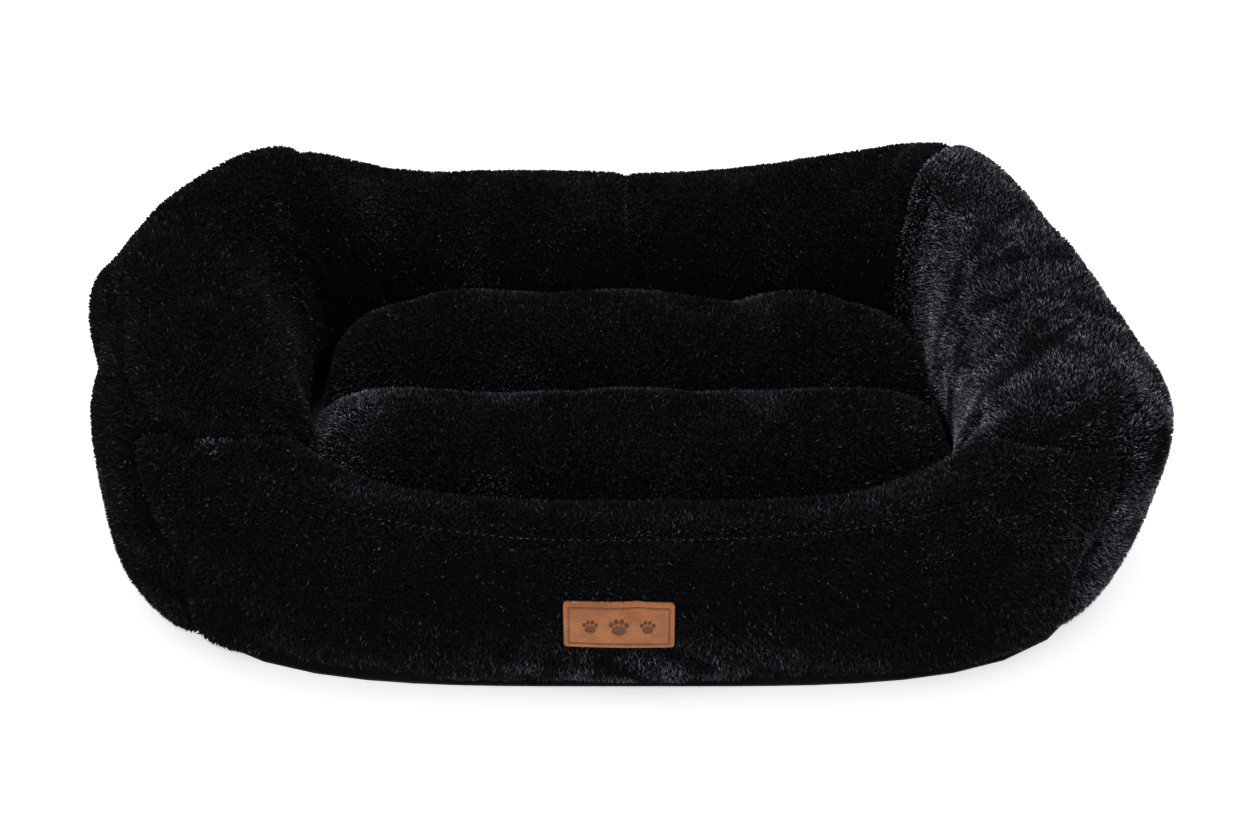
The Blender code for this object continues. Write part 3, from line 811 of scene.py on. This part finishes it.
# ---------------------------------------------------------------- the cushion
HALF_WIDTH, FRONT_EDGE, REAR_EDGE = 0.214, -0.158, 0.126
MIDDLE_X, CHANNEL_Y, SQUARE = 0.0075, -0.004, 6.0
EDGE_LEVEL, LOBE_RISE, CHANNEL_RISE = 0.038, 0.054, 0.002
CUSHION_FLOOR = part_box("cushion_under_cover")[0].z + 0.0008


def bulge(t):
    """A stuffed outline: 1 in the middle, steep to 0 at -1 and 1."""
    return np.maximum(1 - np.abs(t) ** 2.4, 0.0) ** (1 / 2.4)


def lobe_profile():
    """The cushion from front to rear: row depths, how full it is there, the channel's row."""
    depths, fulness = [], []
    for count, low, high in ((32, FRONT_EDGE, CHANNEL_Y), (28, CHANNEL_Y, REAR_EDGE)):
        in_front = low == FRONT_EDGE
        t = np.sin(np.pi / 2 * np.linspace(-1, 1, count))
        t = t if in_front else t[1:]
        base = np.where((t > 0) if in_front else (t < 0), CHANNEL_RISE / LOBE_RISE, 0.0)
        depths.append((low + high) / 2 + (high - low) / 2 * t)
        fulness.append(base + (1 - base) * bulge(t))
    return np.concatenate(depths), np.concatenate(fulness), len(depths[0]) - 1


def closed_cover(top, under):
    """Two grids joined along their edges: corners, faces, which corners were kept, the edge."""
    rows, columns = top.shape[:2]
    number = np.arange(rows * columns).reshape(rows, columns)
    below = number + rows * columns
    edge = np.zeros((rows, columns), bool)
    edge[[0, -1]] = True
    edge[:, [0, -1]] = True
    below[edge] = number[edge]
    faces = []
    for i in range(rows - 1):
        for j in range(columns - 1):
            faces.append((number[i, j], number[i + 1, j], number[i + 1, j + 1], number[i, j + 1]))
            faces.append((below[i, j], below[i, j + 1], below[i + 1, j + 1], below[i + 1, j]))
    points = np.vstack([top.reshape(-1, 3), under.reshape(-1, 3)])
    used = np.unique(np.array(faces))
    renumber = np.zeros(len(points), int)
    renumber[used] = np.arange(len(used))
    faces = [tuple(int(k) for k in renumber[list(face)]) for face in faces]
    return points[used], faces, used, edge


def cushion_form(material):
    """Two stuffed lobes in one closed cover, sewn down in a channel between them."""
    across = np.sin(np.pi / 2 * np.linspace(-1, 1, 78))
    y, full, channel = lobe_profile()
    u_grid, y_grid = np.meshgrid(across, y, indexing="ij")
    width = (1 - np.abs(u_grid) ** 7) ** (1 / 2.6)
    middle, reach = (FRONT_EDGE + REAR_EDGE) / 2, (REAR_EDGE - FRONT_EDGE) / 2
    v = (y_grid - middle) / reach
    rounded = np.maximum((np.abs(u_grid) ** SQUARE + np.abs(v) ** SQUARE) ** (1 / SQUARE), 1e-9)
    share = np.maximum(np.abs(u_grid), np.abs(v)) / rounded
    x, py = MIDDLE_X + HALF_WIDTH * u_grid * share, middle + reach * v * share
    lift = width * full[None, :]
    rise = LOBE_RISE * lift
    plan = np.stack([x, py, np.zeros_like(x)], -1).reshape(-1, 3)
    wave = lumps(plan, 0.13, 11).reshape(x.shape)
    # fill has settled along the rear lobe: a broad swell, and a dip right of the middle
    rear = ease(y_grid, 0.02, 0.08)
    settled = (0.004 * hill(x + 0.095, 0.10) - 0.006 * hill(x - 0.077, 0.035)
               + 0.002 * hill(x - 0.137, 0.03))
    rise = rise * (1 + 0.05 * wave) + settled * rear * lift
    top = np.stack([x, py, EDGE_LEVEL + 0.001 * (lift > 0) + rise], -1)
    drop = (EDGE_LEVEL - CUSHION_FLOOR) * np.minimum(1, 1.7 * lift)
    under = np.stack([x, py, EDGE_LEVEL - drop], -1)
    points, faces, used, edge = closed_cover(top, under)
    made = mesh_object("cushion_pad", points, faces, material)
    seam = edge.copy()
    seam[:, channel] = True
    pinned = np.concatenate([seam.ravel(), (seam & ~edge).ravel()])
    on_floor = under[..., 2].ravel() < CUSHION_FLOOR + 0.0005
    pinned |= np.concatenate([np.zeros(x.size, bool), on_floor])
    store(made, "wrap", np.concatenate([np.abs(y_grid - CHANNEL_Y).ravel()] * 2)[used])
    store(made, "end", np.concatenate([np.ones(x.size), np.zeros(x.size)])[used])
    inflate(made, np.flatnonzero(pinned[used]), pressure=4.0, growth=0.012, cap=0.0040)
    return made


# ---------------------------------------------------------------- leather patch
PATCH_WIDTH, PATCH_HEIGHT, PATCH_THICKNESS = 0.064, 0.030, 0.0018
PATCH_X, PATCH_Z = 0.002, 0.064


def front_face(shell, x, z):
    """Where the front bolster's cloth is, straight ahead of x and z."""
    _, spot, normal, _ = shell.ray_cast(Vector((float(x), -0.40, float(z))), Vector((0, 1, 0)))
    return spot, normal


def motif_depth(x, z):
    """Depth pressed into the patch: a border line and three paws."""
    half_x, half_z = PATCH_WIDTH / 2, PATCH_HEIGHT / 2
    inset = np.minimum(half_x - np.abs(x), half_z - np.abs(z))
    depth = 0.0008 * hill(inset - 0.0030, 0.00045)
    for middle, size in ((-0.0165, 0.78), (0.0, 1.0), (0.0165, 0.78)):
        px, pz = (x - middle) / size, z / size
        depth += 0.0010 * ease(-np.hypot(px / 0.0040, (pz + 0.0022) / 0.0032), -1.12, -0.88)
        for toe, high in ((-0.0044, 0.0016), (-0.0016, 0.0038), (0.0016, 0.0038), (0.0044, 0.0016)):
            depth += 0.0010 * ease(-np.hypot((px - toe) / 0.00125, (pz - high) / 0.0017), -1.15, -0.85)
    return depth


def leather_patch(shell, material):
    """A tan leather label laid on the front bolster, with a pressed motif."""
    columns, rows = 161, 77
    xs = np.linspace(-PATCH_WIDTH / 2, PATCH_WIDTH / 2, columns)
    zs = np.linspace(-PATCH_HEIGHT / 2, PATCH_HEIGHT / 2, rows)
    coarse = [[front_face(shell, PATCH_X + x, PATCH_Z + z)[0].y for z in zs[::4]] for x in xs[::4]]
    coarse = np.array(coarse)
    across = np.array([np.interp(zs, zs[::4], line) for line in coarse])
    back = np.array([np.interp(xs, xs[::4], across[:, j]) for j in range(rows)]).T
    x_grid, z_grid = np.meshgrid(xs, zs, indexing="ij")
    corner = 0.0022
    round_x = np.maximum(np.abs(x_grid) - (PATCH_WIDTH / 2 - corner), 0)
    round_z = np.maximum(np.abs(z_grid) - (PATCH_HEIGHT / 2 - corner), 0)
    over = np.maximum(np.hypot(round_x, round_z) / corner, 1.0)
    x_in = x_grid - np.sign(x_grid) * round_x * (1 - 1 / over)
    z_in = z_grid - np.sign(z_grid) * round_z * (1 - 1 / over)
    inset = np.minimum(PATCH_WIDTH / 2 - np.abs(x_grid), PATCH_HEIGHT / 2 - np.abs(z_grid))
    soft_edge = 0.0005 * (1 - ease(inset, 0.0, 0.0012))
    lift = PATCH_THICKNESS + 0.0016 - motif_depth(x_grid, z_grid) - soft_edge
    front = np.stack([PATCH_X + x_in, back - lift, PATCH_Z + z_in], -1).reshape(-1, 3)
    rear = np.stack([PATCH_X + x_in, back - 0.0014, PATCH_Z + z_in], -1).reshape(-1, 3)
    number = np.arange(columns * rows).reshape(columns, rows)
    faces = []
    total = columns * rows
    for i in range(columns - 1):
        for j in range(rows - 1):
            a, b, c, d = number[i, j], number[i + 1, j], number[i + 1, j + 1], number[i, j + 1]
            faces.append((a, b, c, d))
            faces.append((a + total, d + total, c + total, b + total))
    ring = list(number[:, 0]) + list(number[-1, 1:]) + list(number[-2::-1, -1]) + list(number[0, -2:0:-1])
    for a, b in zip(ring, ring[1:] + ring[:1]):
        faces.append((a + total, b + total, b, a))
    faces = [tuple(int(k) for k in f) for f in faces]
    label = mesh_object("leather_label", np.vstack([front, rear]), faces, material)
    pressed = np.clip(motif_depth(x_grid, z_grid).ravel() / 0.0010, 0, 1)
    store(label, "pressed", np.append(pressed, pressed * 0))
    return label


def leather_material():
    """Tan leather: warm cognac with darker pores, darker brown where it is pressed."""
    material, tree, shader = principled("tan_leather", (0.25, 0.085, 0.023), 0.42, 0.25)
    tone = tone_node(tree, 0.012, 0.0011, 0.45, (0.185, 0.060, 0.016), (0.285, 0.098, 0.027))
    pressed_darker = mix_colours(tree, attribute(tree, "pressed"), tone.outputs["Color"], (0.085, 0.026, 0.010, 1))
    tree.links.new(pressed_darker, shader.inputs["Base Color"])
    pores = tree.nodes.new("ShaderNodeTexVoronoi")
    pores.inputs["Scale"].default_value = 1400.0
    tree.links.new(tree.nodes.new("ShaderNodeTexCoord").outputs["Object"], pores.inputs["Vector"])
    raise_relief(tree, shader, pores.outputs["Distance"], 0.35, 0.0002)
    return material


# ---------------------------------------------------------------- stitches, dots and teeth
def row_tree():
    """Copies of a small rounded block at even steps along lines, turned along the line."""
    tree, into, out = new_modifier_tree(
        "row of parts", (("Step", 0.005), ("Length", 0.003), ("Thickness", 0.0006)))
    line = tree.nodes.new("GeometryNodeMeshToCurve")
    tree.links.new(into.outputs["Geometry"], line.inputs["Mesh"])
    steps = tree.nodes.new("GeometryNodeCurveToPoints")
    steps.mode = "LENGTH"
    tree.links.new(line.outputs["Curve"], steps.inputs["Curve"])
    tree.links.new(into.outputs["Step"], steps.inputs["Length"])
    size = tree.nodes.new("ShaderNodeCombineXYZ")
    for axis, measure in (("X", "Thickness"), ("Y", "Thickness"), ("Z", "Length")):
        tree.links.new(into.outputs[measure], size.inputs[axis])
    block = tree.nodes.new("GeometryNodeMeshCube")
    tree.links.new(size.outputs[0], block.inputs["Size"])
    round_off = tree.nodes.new("GeometryNodeSubdivisionSurface")
    round_off.inputs["Level"].default_value = 1
    tree.links.new(block.outputs["Mesh"], round_off.inputs["Mesh"])
    copies = tree.nodes.new("GeometryNodeInstanceOnPoints")
    tree.links.new(steps.outputs["Points"], copies.inputs["Points"])
    tree.links.new(steps.outputs["Rotation"], copies.inputs["Rotation"])
    tree.links.new(round_off.outputs["Mesh"], copies.inputs["Instance"])
    realised_with(tree, into, out, copies.outputs["Instances"])
    return tree


ROW = row_tree()


def row_of_parts(name, lines, step, length, thickness, material, body):
    """Small parts along each polyline, as one mesh that rides on body."""
    points, edges = [], []
    for line in lines:
        start = len(points)
        points += [tuple(p) for p in line]
        edges += [(start + i, start + i + 1) for i in range(len(line) - 1)]
    mesh = bpy.data.meshes.new(name + "_line")
    mesh.from_pydata(points, edges, [])
    host = bpy.data.objects.new(name + "_line", mesh)
    bpy.context.scene.collection.objects.link(host)
    placer = host.modifiers.new("row", "NODES")
    placer.node_group = ROW
    for label, value in (("Step", step), ("Length", length), ("Thickness", thickness),
                         ("Material", material)):
        set_input(placer, label, value)
    made = evaluated(host, name)
    bpy.data.objects.remove(host)
    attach(made, body)
    return made


# ---------------------------------------------------------------- finishes for the kept parts
def paint(node, material):
    """Gives a CAD piece its material."""
    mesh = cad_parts[node].data
    mesh.materials.clear()
    mesh.materials.append(material)


PLUSH_BACKING = toned("black_plush_backing", (0.0034, 0.0036, 0.0042), (0.0052, 0.0055, 0.0064),
                      0.9, 0.05, 0.0016, 0.7, 0.0, (0.5, 0.0006))
PILE_FINISH = pile_material()
FIBRE = toned("polyester_fibre", (0.62, 0.62, 0.60), (0.85, 0.85, 0.83), 0.9, 0.02, 0.0012, 0.6,
              0.2, (0.7, 0.0008))
BASE_CLOTH = toned("black_base_cloth", (0.006, 0.006, 0.007), (0.022, 0.022, 0.024), 0.8, 0.04,
                   0.0009, 0.75, 0.2, (0.6, 0.0003))
ZIP_TAPE = toned("black_zip_tape", (0.004, 0.004, 0.005), (0.011, 0.011, 0.012), 0.8, 0.02, 0.0007,
                 0.8, 0.25, (0.5, 0.0002))
ZIP_METAL = toned("dark_zip_metal", (0.10, 0.10, 0.105), (0.16, 0.16, 0.165), 0.38, 0.004, 0.0006,
                  0.4, 0.5, (0.15, 0.00005))
THREAD = toned("black_thread", (0.0035, 0.0035, 0.0041), (0.0065, 0.0066, 0.0076),
               0.6, 0.01, 0.0005, 0.5, 0.4)
RUBBER = toned("black_grip_dots", (0.010, 0.010, 0.010), (0.018, 0.018, 0.018), 0.55, 0.02, 0.001, 0.5)
LEATHER = leather_material()

for part in ("front_bolster_fill", "rear_bolster_fill", "left_bolster_fill", "right_bolster_fill",
             "base_wadding", "cushion_fill_front", "cushion_fill_rear"):
    paint(part, FIBRE)
for part in ("base_sheet", "front_left_baffle", "front_right_baffle", "rear_left_baffle",
             "rear_right_baffle"):
    paint(part, BASE_CLOTH)
for part in ("zip_tape_upper", "zip_tape_lower"):
    paint(part, ZIP_TAPE)
paint("zip_slider", ZIP_METAL)
paint("floor_panel", PLUSH_BACKING)
for part in ("front_outer_panel", "rear_outer_panel", "left_outer_panel", "right_outer_panel",
             "front_inner_panel", "left_inner_panel", "right_inner_panel", "rear_inner_panel_left",
             "rear_inner_panel_right", "cushion_top_cover", "cushion_under_cover"):
    paint(part, PLUSH_BACKING)
paint("leather_patch", LEATHER)


# ---------------------------------------------------------------- the four bolsters
STANDS_FOR = {
    "front": ("front_outer_panel", "front_inner_panel", "front_bolster_fill"),
    "rear": ("rear_outer_panel", "rear_inner_panel_left", "rear_inner_panel_right",
             "rear_bolster_fill"),
    "left": ("left_outer_panel", "left_inner_panel", "left_bolster_fill"),
    "right": ("right_outer_panel", "right_inner_panel", "right_bolster_fill"),
}
NAP_WAY = {"front": (0.1, 0.0, -1.0), "rear": (0.2, 0.0, -1.0), "left": (0.0, -0.3, -1.0),
           "right": (0.2, 0.35, 0.3)}


def painted_sheen_and_shade_of(side, place, wrap):
    """Painted sheen for the pile's colour, with painted highlights on upper parts and painted shade along
    the right bolster's creases: lighter mostly over the top of the right bolster.
    """
    x, y, z = place.T
    # faint painted sheen in soft patches all over
    patches = 0.035 * ease(lumps(place * (1.0, 1.0, 0.6), 0.06, 21), 0.2, 1.3)
    # right bolster: painted sheen over its top, weaker at the front end and stronger at the rear, broken
    # by painted shade along the creases; more painted sheen in patches on its outer side and low down,
    # towards the front
    if side == "right":
        painted_sheen = ease(wrap, -0.006, 0.004) * ease(z, 0.025, 0.07)
        towards_front = ease(y, -0.19, -0.13)
        strength = (0.32 + 0.68 * towards_front) * (0.80 + 0.28 * lumps(place, 0.022, 5))
        strength *= 1 + 0.50 * ease(y, 0.04, 0.12)
        crease_painted_shade = np.zeros(len(place))
        stray = 0.0025 * lumps(place, 0.012, 17)
        for line, _, wide in RIGHT_CREASES:
            crease_painted_shade = np.maximum(crease_painted_shade, hill(distance_to_line(x, y, line) + stray, wide))
        crease_painted_shade *= ease(lumps(place, 0.024, 18), -1.5, 0.1)
        patches += painted_sheen * strength * (1 - 0.93 * crease_painted_shade)
        patches += 0.95 * (1 - painted_sheen) * ease(lumps(place, 0.05, 8), -1.6, 0.6) * ease(-y, -0.14, 0.06)
    # left bolster: painted sheen in patches on its outer side, below the rim
    if side == "left":
        patches += 0.10 * ease(-wrap, 0.02, 0.06) * ease(lumps(place, 0.05, 9), -0.3, 1.0)
    # front bolster: painted sheen by the label and near the right corner, a painted highlight along the
    # strip just inside the rim seam, most at the left end, and lighter painted patches at the right end's
    # top
    if side == "front":
        outside = y < CENTRE[1] - 0.19
        by_label = hill(x - PATCH_X - 0.010, 0.085) * hill(z - 0.030, 0.022)
        patches += 0.80 * by_label * outside * ease(lumps(place, 0.02, 13), -0.9, 0.7)
        strip = ease(wrap, 0.0005, 0.004) * (1 - ease(wrap, 0.014, 0.030))
        strip *= 1 + 1.6 * hill(x + 0.235, 0.070)
        patches += 0.05 * outside * ease(lumps(place, 0.05, 24), 0.1, 1.2)
        patches += 0.18 * strip * ease(lumps(place * (0.6, 1, 1), 0.07, 14), -0.7, 0.8)
        right_end = ease(x, 0.10, 0.20) * ease(z, 0.07, 0.11)
        patches += 0.16 * right_end * ease(lumps(place, 0.03, 19), -1.0, 1.0)
        patches += 0.10 * ease(x, 0.20, 0.28) * outside
    # rear bolster: painted highlight along its top and painted sheen in upright patches lower down
    if side == "rear":
        patches += 0.10 * ease(z, 0.11, 0.15) * ease(lumps(place, 0.05, 15), -0.2, 1.0)
        painted_sheen_up = ease(lumps(place * (1.0, 1.0, 0.35), 0.065, 23), -0.1, 1.2)
        patches += 0.14 * painted_sheen_up * (1 - ease(z, 0.11, 0.16))
    return patches


def build_bolster(side, seed):
    """One bolster from its cloth to its pile."""
    rough = bolster(side, PLUSH_BACKING)
    shell = refined(rough)
    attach(shell, "bed")
    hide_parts(*STANDS_FOR[side])
    place, wrap, end = coordinates(shell.data), stored(shell, "wrap"), stored(shell, "end")
    seam = stored(shell, "seam")
    lay_nap(shell, NAP_WAY[side])
    # the nap attribute carries painted sheen, painted highlights and painted crease shade for the pile's
    # colour
    store(shell, "nap", np.clip(painted_sheen_and_shade_of(side, place, wrap), 0, 1))
    cover = ease(place[:, 2], 0.0018, 0.0035) * ease(end, -0.014, -0.006)
    cover = cover * (1 - 0.80 * hill(seam, 0.0021))
    if side == "front":
        inside = ((np.abs(place[:, 0] - PATCH_X) < PATCH_WIDTH / 2 - 0.0012)
                  & (np.abs(place[:, 2] - PATCH_Z) < PATCH_HEIGHT / 2 - 0.0012)
                  & (place[:, 1] < -0.19))
        cover = cover * ~inside
    along = place[:, 1] if side in ("left", "right") else place[:, 0]
    outer = wrap < 0
    grow_pile(shell, side + "_pile_outer", "bed", seed, cover * outer, PILE_FINISH)
    grow_pile(shell, side + "_pile_inner_a", "bed", seed + 1, cover * ~outer * (along < 0), PILE_FINISH)
    grow_pile(shell, side + "_pile_inner_b", "bed", seed + 2, cover * ~outer * (along >= 0), PILE_FINISH)
    return shell


def build_baffles():
    """The cloth walls between neighbouring bolsters' ends, each a thin closed sheet."""
    corners = {"front_left_baffle": (BOLSTERS["left"][1], LEFT_SHOULDER, 1),
               "front_right_baffle": (BOLSTERS["front"][1], RIGHT_SHOULDER, -1),
               "rear_left_baffle": (BOLSTERS["rear"][1], 0.0, 0),
               "rear_right_baffle": (BOLSTERS["rear"][0], 0.0, 0)}
    angles = np.linspace(-90, 270, 48, endpoint=False)
    for name, (turn, shoulder, way) in corners.items():
        turns = turn + way * seam_swing(angles, shoulder)
        rim = ring_surface(turns, angles, -0.013 - 0.010 * ease(angles, 110, 160), CENTRE)
        rim[:, 2] = np.maximum(rim[:, 2], 0.004)
        back = rim + np.array((0.0, 0.0012, 0.0))
        count = len(rim)
        points = np.vstack([rim, back, rim.mean(0), back.mean(0)])
        faces = []
        for i in range(count):
            j = (i + 1) % count
            faces += [(i, j, 2 * count), (j + count, i + count, 2 * count + 1),
                      (j, i, i + count, j + count)]
        sheet = mesh_object(name + "_cloth", points, faces, BASE_CLOTH, smooth=False)
        face_outwards(sheet)
        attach(sheet, "bed")
        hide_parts(name)


def build_seams():
    """Stitches along the rim seam and the rear wall's upright seam."""
    for side, lines in SEAM_LINES.items():
        row_of_parts(side + "_stitches", lines, 0.0050, 0.0034, 0.0009, THREAD, "bed")


SHELLS = {side: build_bolster(side, seed)
          for side, seed in (("front", 10), ("rear", 20), ("left", 30), ("right", 40))}


build_baffles()
build_seams()


def build_label():
    """The leather patch, laid on the front bolster in place of its plain sheet."""
    label = leather_patch(SHELLS["front"], LEATHER)
    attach(label, "bed")
    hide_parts("leather_patch")


build_label()


# ---------------------------------------------------------------- the loose cushion
def make_room_for_zip(pad):
    """Presses the pad in behind the zip's tapes; returns how bare its cloth is of pile there."""
    low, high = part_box("zip_tape_lower")[0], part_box("zip_tape_upper")[1]
    points = coordinates(pad.data)
    x, y, z = points.T
    beyond_x = np.maximum(np.maximum(low.x - x, x - high.x), 0)
    beyond_z = np.maximum(np.maximum(low.z - z, z - high.z), 0)
    away = np.hypot(beyond_x, beyond_z)
    points[:, 1] = np.minimum(y, low.y - 0.0008 + 0.8 * away)
    pad.data.vertices.foreach_set("co", points.astype(np.float32).ravel())
    pad.data.update()
    return (1 - ease(away, 0.0010, 0.0040)) * (y > low.y - 0.020)


def build_cushion():
    """The loose cushion from its cover to its pile."""
    pad = refined(cushion_form(PLUSH_BACKING))
    bare = make_room_for_zip(pad)
    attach(pad, "cushion")
    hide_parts("cushion_top_cover", "cushion_under_cover", "cushion_fill_front",
                "cushion_fill_rear")
    place, from_channel, upper = coordinates(pad.data), stored(pad, "wrap"), stored(pad, "end")
    lay_nap(pad, (0.15, -0.9, -0.4))
    x, y, z = place.T
    # nap for the cushion's pile: painted sheen in streaks, a painted highlight on crests that face up and
    # back, and a lighter painted patch at the front lobe's left end
    streaks = ease(lumps(place * (1.0, 0.35, 1.0), 0.055, 31), 0.45, 1.3)
    normals = np.zeros(len(place) * 3, np.float32)
    pad.data.vertices.foreach_get("normal", normals)
    facing_back = ease(normals.reshape(-1, 3) @ np.array((0.0, 0.75, 0.66)), 0.45, 1.0)
    crest = facing_back * ease(z, 0.065, 0.085) * ease(lumps(place, 0.06, 33), -1.0, 0.6)
    left_end = hill(x - MIDDLE_X + 0.185, 0.028) * hill(y + 0.075, 0.055) * ease(z, 0.05, 0.08)
    store(pad, "nap", np.clip(0.012 + 0.17 * streaks + 0.16 * crest + 0.95 * left_end, 0, 1))
    cover = np.where(upper > 0.5, 1.0, 0.35)
    cover = cover * ease(place[:, 2], CUSHION_FLOOR + 0.004, CUSHION_FLOOR + 0.012)
    cover = cover * (1 - 0.5 * hill(from_channel, 0.002)) * (1 - bare)
    rear = place[:, 1] > CHANNEL_Y
    grow_pile(pad, "cushion_pile_front", "cushion", 71, cover * ~rear, PILE_FINISH)
    grow_pile(pad, "cushion_pile_rear", "cushion", 72, cover * rear, PILE_FINISH)


build_cushion()


# ---------------------------------------------------------------- floor, base and zip
def build_floor_pile():
    """Short pile on the well's floor, which shows when the cushion is out."""
    low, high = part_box("floor_panel")
    margin = Vector((0.03, 0.03, 0.0))
    host = level_sheet("floor_panel_top", low + margin, high - margin, high.z, PLUSH_BACKING)
    lay_nap(host, (0.2, -1.0, 0.0))
    store(host, "nap", np.zeros(4))
    grow_pile(host, "floor_pile", "bed", 90, np.ones(4), PILE_FINISH, share=0.5, lean=1.6, length=0.0022)
    bpy.data.objects.remove(host)


build_floor_pile()


def build_zip():
    """Two rows of coil teeth between the tapes, and the bridge on the slider."""
    low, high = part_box("zip_tape_upper")
    level = (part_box("zip_tape_lower")[1].z + low.z) / 2
    face = high.y + 0.0004
    for name, offset in (("zip_coil_upper", 0.0011), ("zip_coil_lower", -0.0011)):
        line = [(low.x + 0.002, face, level + offset), (high.x - 0.002, face, level + offset)]
        row_of_parts(name, [line], 0.0016, 0.0011, 0.0017, ZIP_TAPE, "cushion")
    slider_low, slider_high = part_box("zip_slider")
    middle = (slider_low + slider_high) / 2
    bridge = [(middle.x + along, slider_high.y + out, middle.z)
              for along, out in ((-0.003, 0.0), (-0.002, 0.0016), (0.002, 0.0016), (0.003, 0.0))]
    row_of_parts("zip_slider_bridge", [bridge], 0.0006, 0.0011, 0.0014, ZIP_METAL,
                 "zip_slider")


build_zip()


def build_grip_dots():
    """Rubber dots under the base sheet, in rows."""
    low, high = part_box("base_sheet")
    lines = []
    for y in np.arange(low.y + 0.05, high.y - 0.045, 0.016):
        lines.append([(low.x + 0.05, y, 0.0), (high.x - 0.05, y, 0.0)])
    row_of_parts("grip_dots", lines, 0.016, 0.0045, 0.0012, RUBBER, "bed")


build_grip_dots()


# ---------------------------------------------------------------- camera, light and floor
FLOOR_LEVEL = -0.0008          # just under the rubber dots


def add_lamp(name, place, watts, size):
    """A square soft light aimed at the bed."""
    lamp = bpy.data.lights.new(name, "AREA")
    lamp.energy, lamp.size = watts, size
    light = bpy.data.objects.new(name, lamp)
    light.location = place
    aim = Vector((0, 0, 0.05)) - light.location
    light.rotation_euler = aim.to_track_quat("-Z", "Y").to_euler()
    bpy.context.scene.collection.objects.link(light)


def studio():
    """A 50 mm lens in front and above, soft light all round, and a plain white floor."""
    scene = bpy.context.scene
    lens = bpy.data.cameras.new("camera")
    lens.lens, lens.sensor_width = 50.0, 36.0
    camera = bpy.data.objects.new("camera", lens)
    scene.collection.objects.link(camera)
    middle_x, middle_y = float(CENTRE[0]) - 0.0067, float(CENTRE[1]) - 0.002
    camera.location = (middle_x, middle_y - 1.020, 0.700)
    aim = Vector((middle_x, middle_y, 0.053))
    camera.rotation_euler = (aim - camera.location).to_track_quat("-Z", "Y").to_euler()
    scene.camera = camera
    add_lamp("overhead", (-0.15, 0.45, 1.4), 30.0, 0.9)
    add_lamp("front_fill", (-0.6, -1.4, 1.1), 7.0, 1.6)
    world = bpy.data.worlds.new("studio")
    world.use_nodes = True
    world.node_tree.nodes["Background"].inputs["Color"].default_value = (1, 1, 1, 1)
    world.node_tree.nodes["Background"].inputs["Strength"].default_value = 0.75
    scene.world = world
    scene.view_settings.view_transform = "Standard"
    white, _, shader = principled("pale_floor", (0.90, 0.90, 0.90), 0.9, 0.0)
    shader.inputs["Emission Color"].default_value = (1, 1, 1, 1)
    shader.inputs["Emission Strength"].default_value = 0.55
    reach = Vector((6.0, 6.0, 0.0))
    level_sheet("studio_floor", -reach, reach, FLOOR_LEVEL, white)


studio()
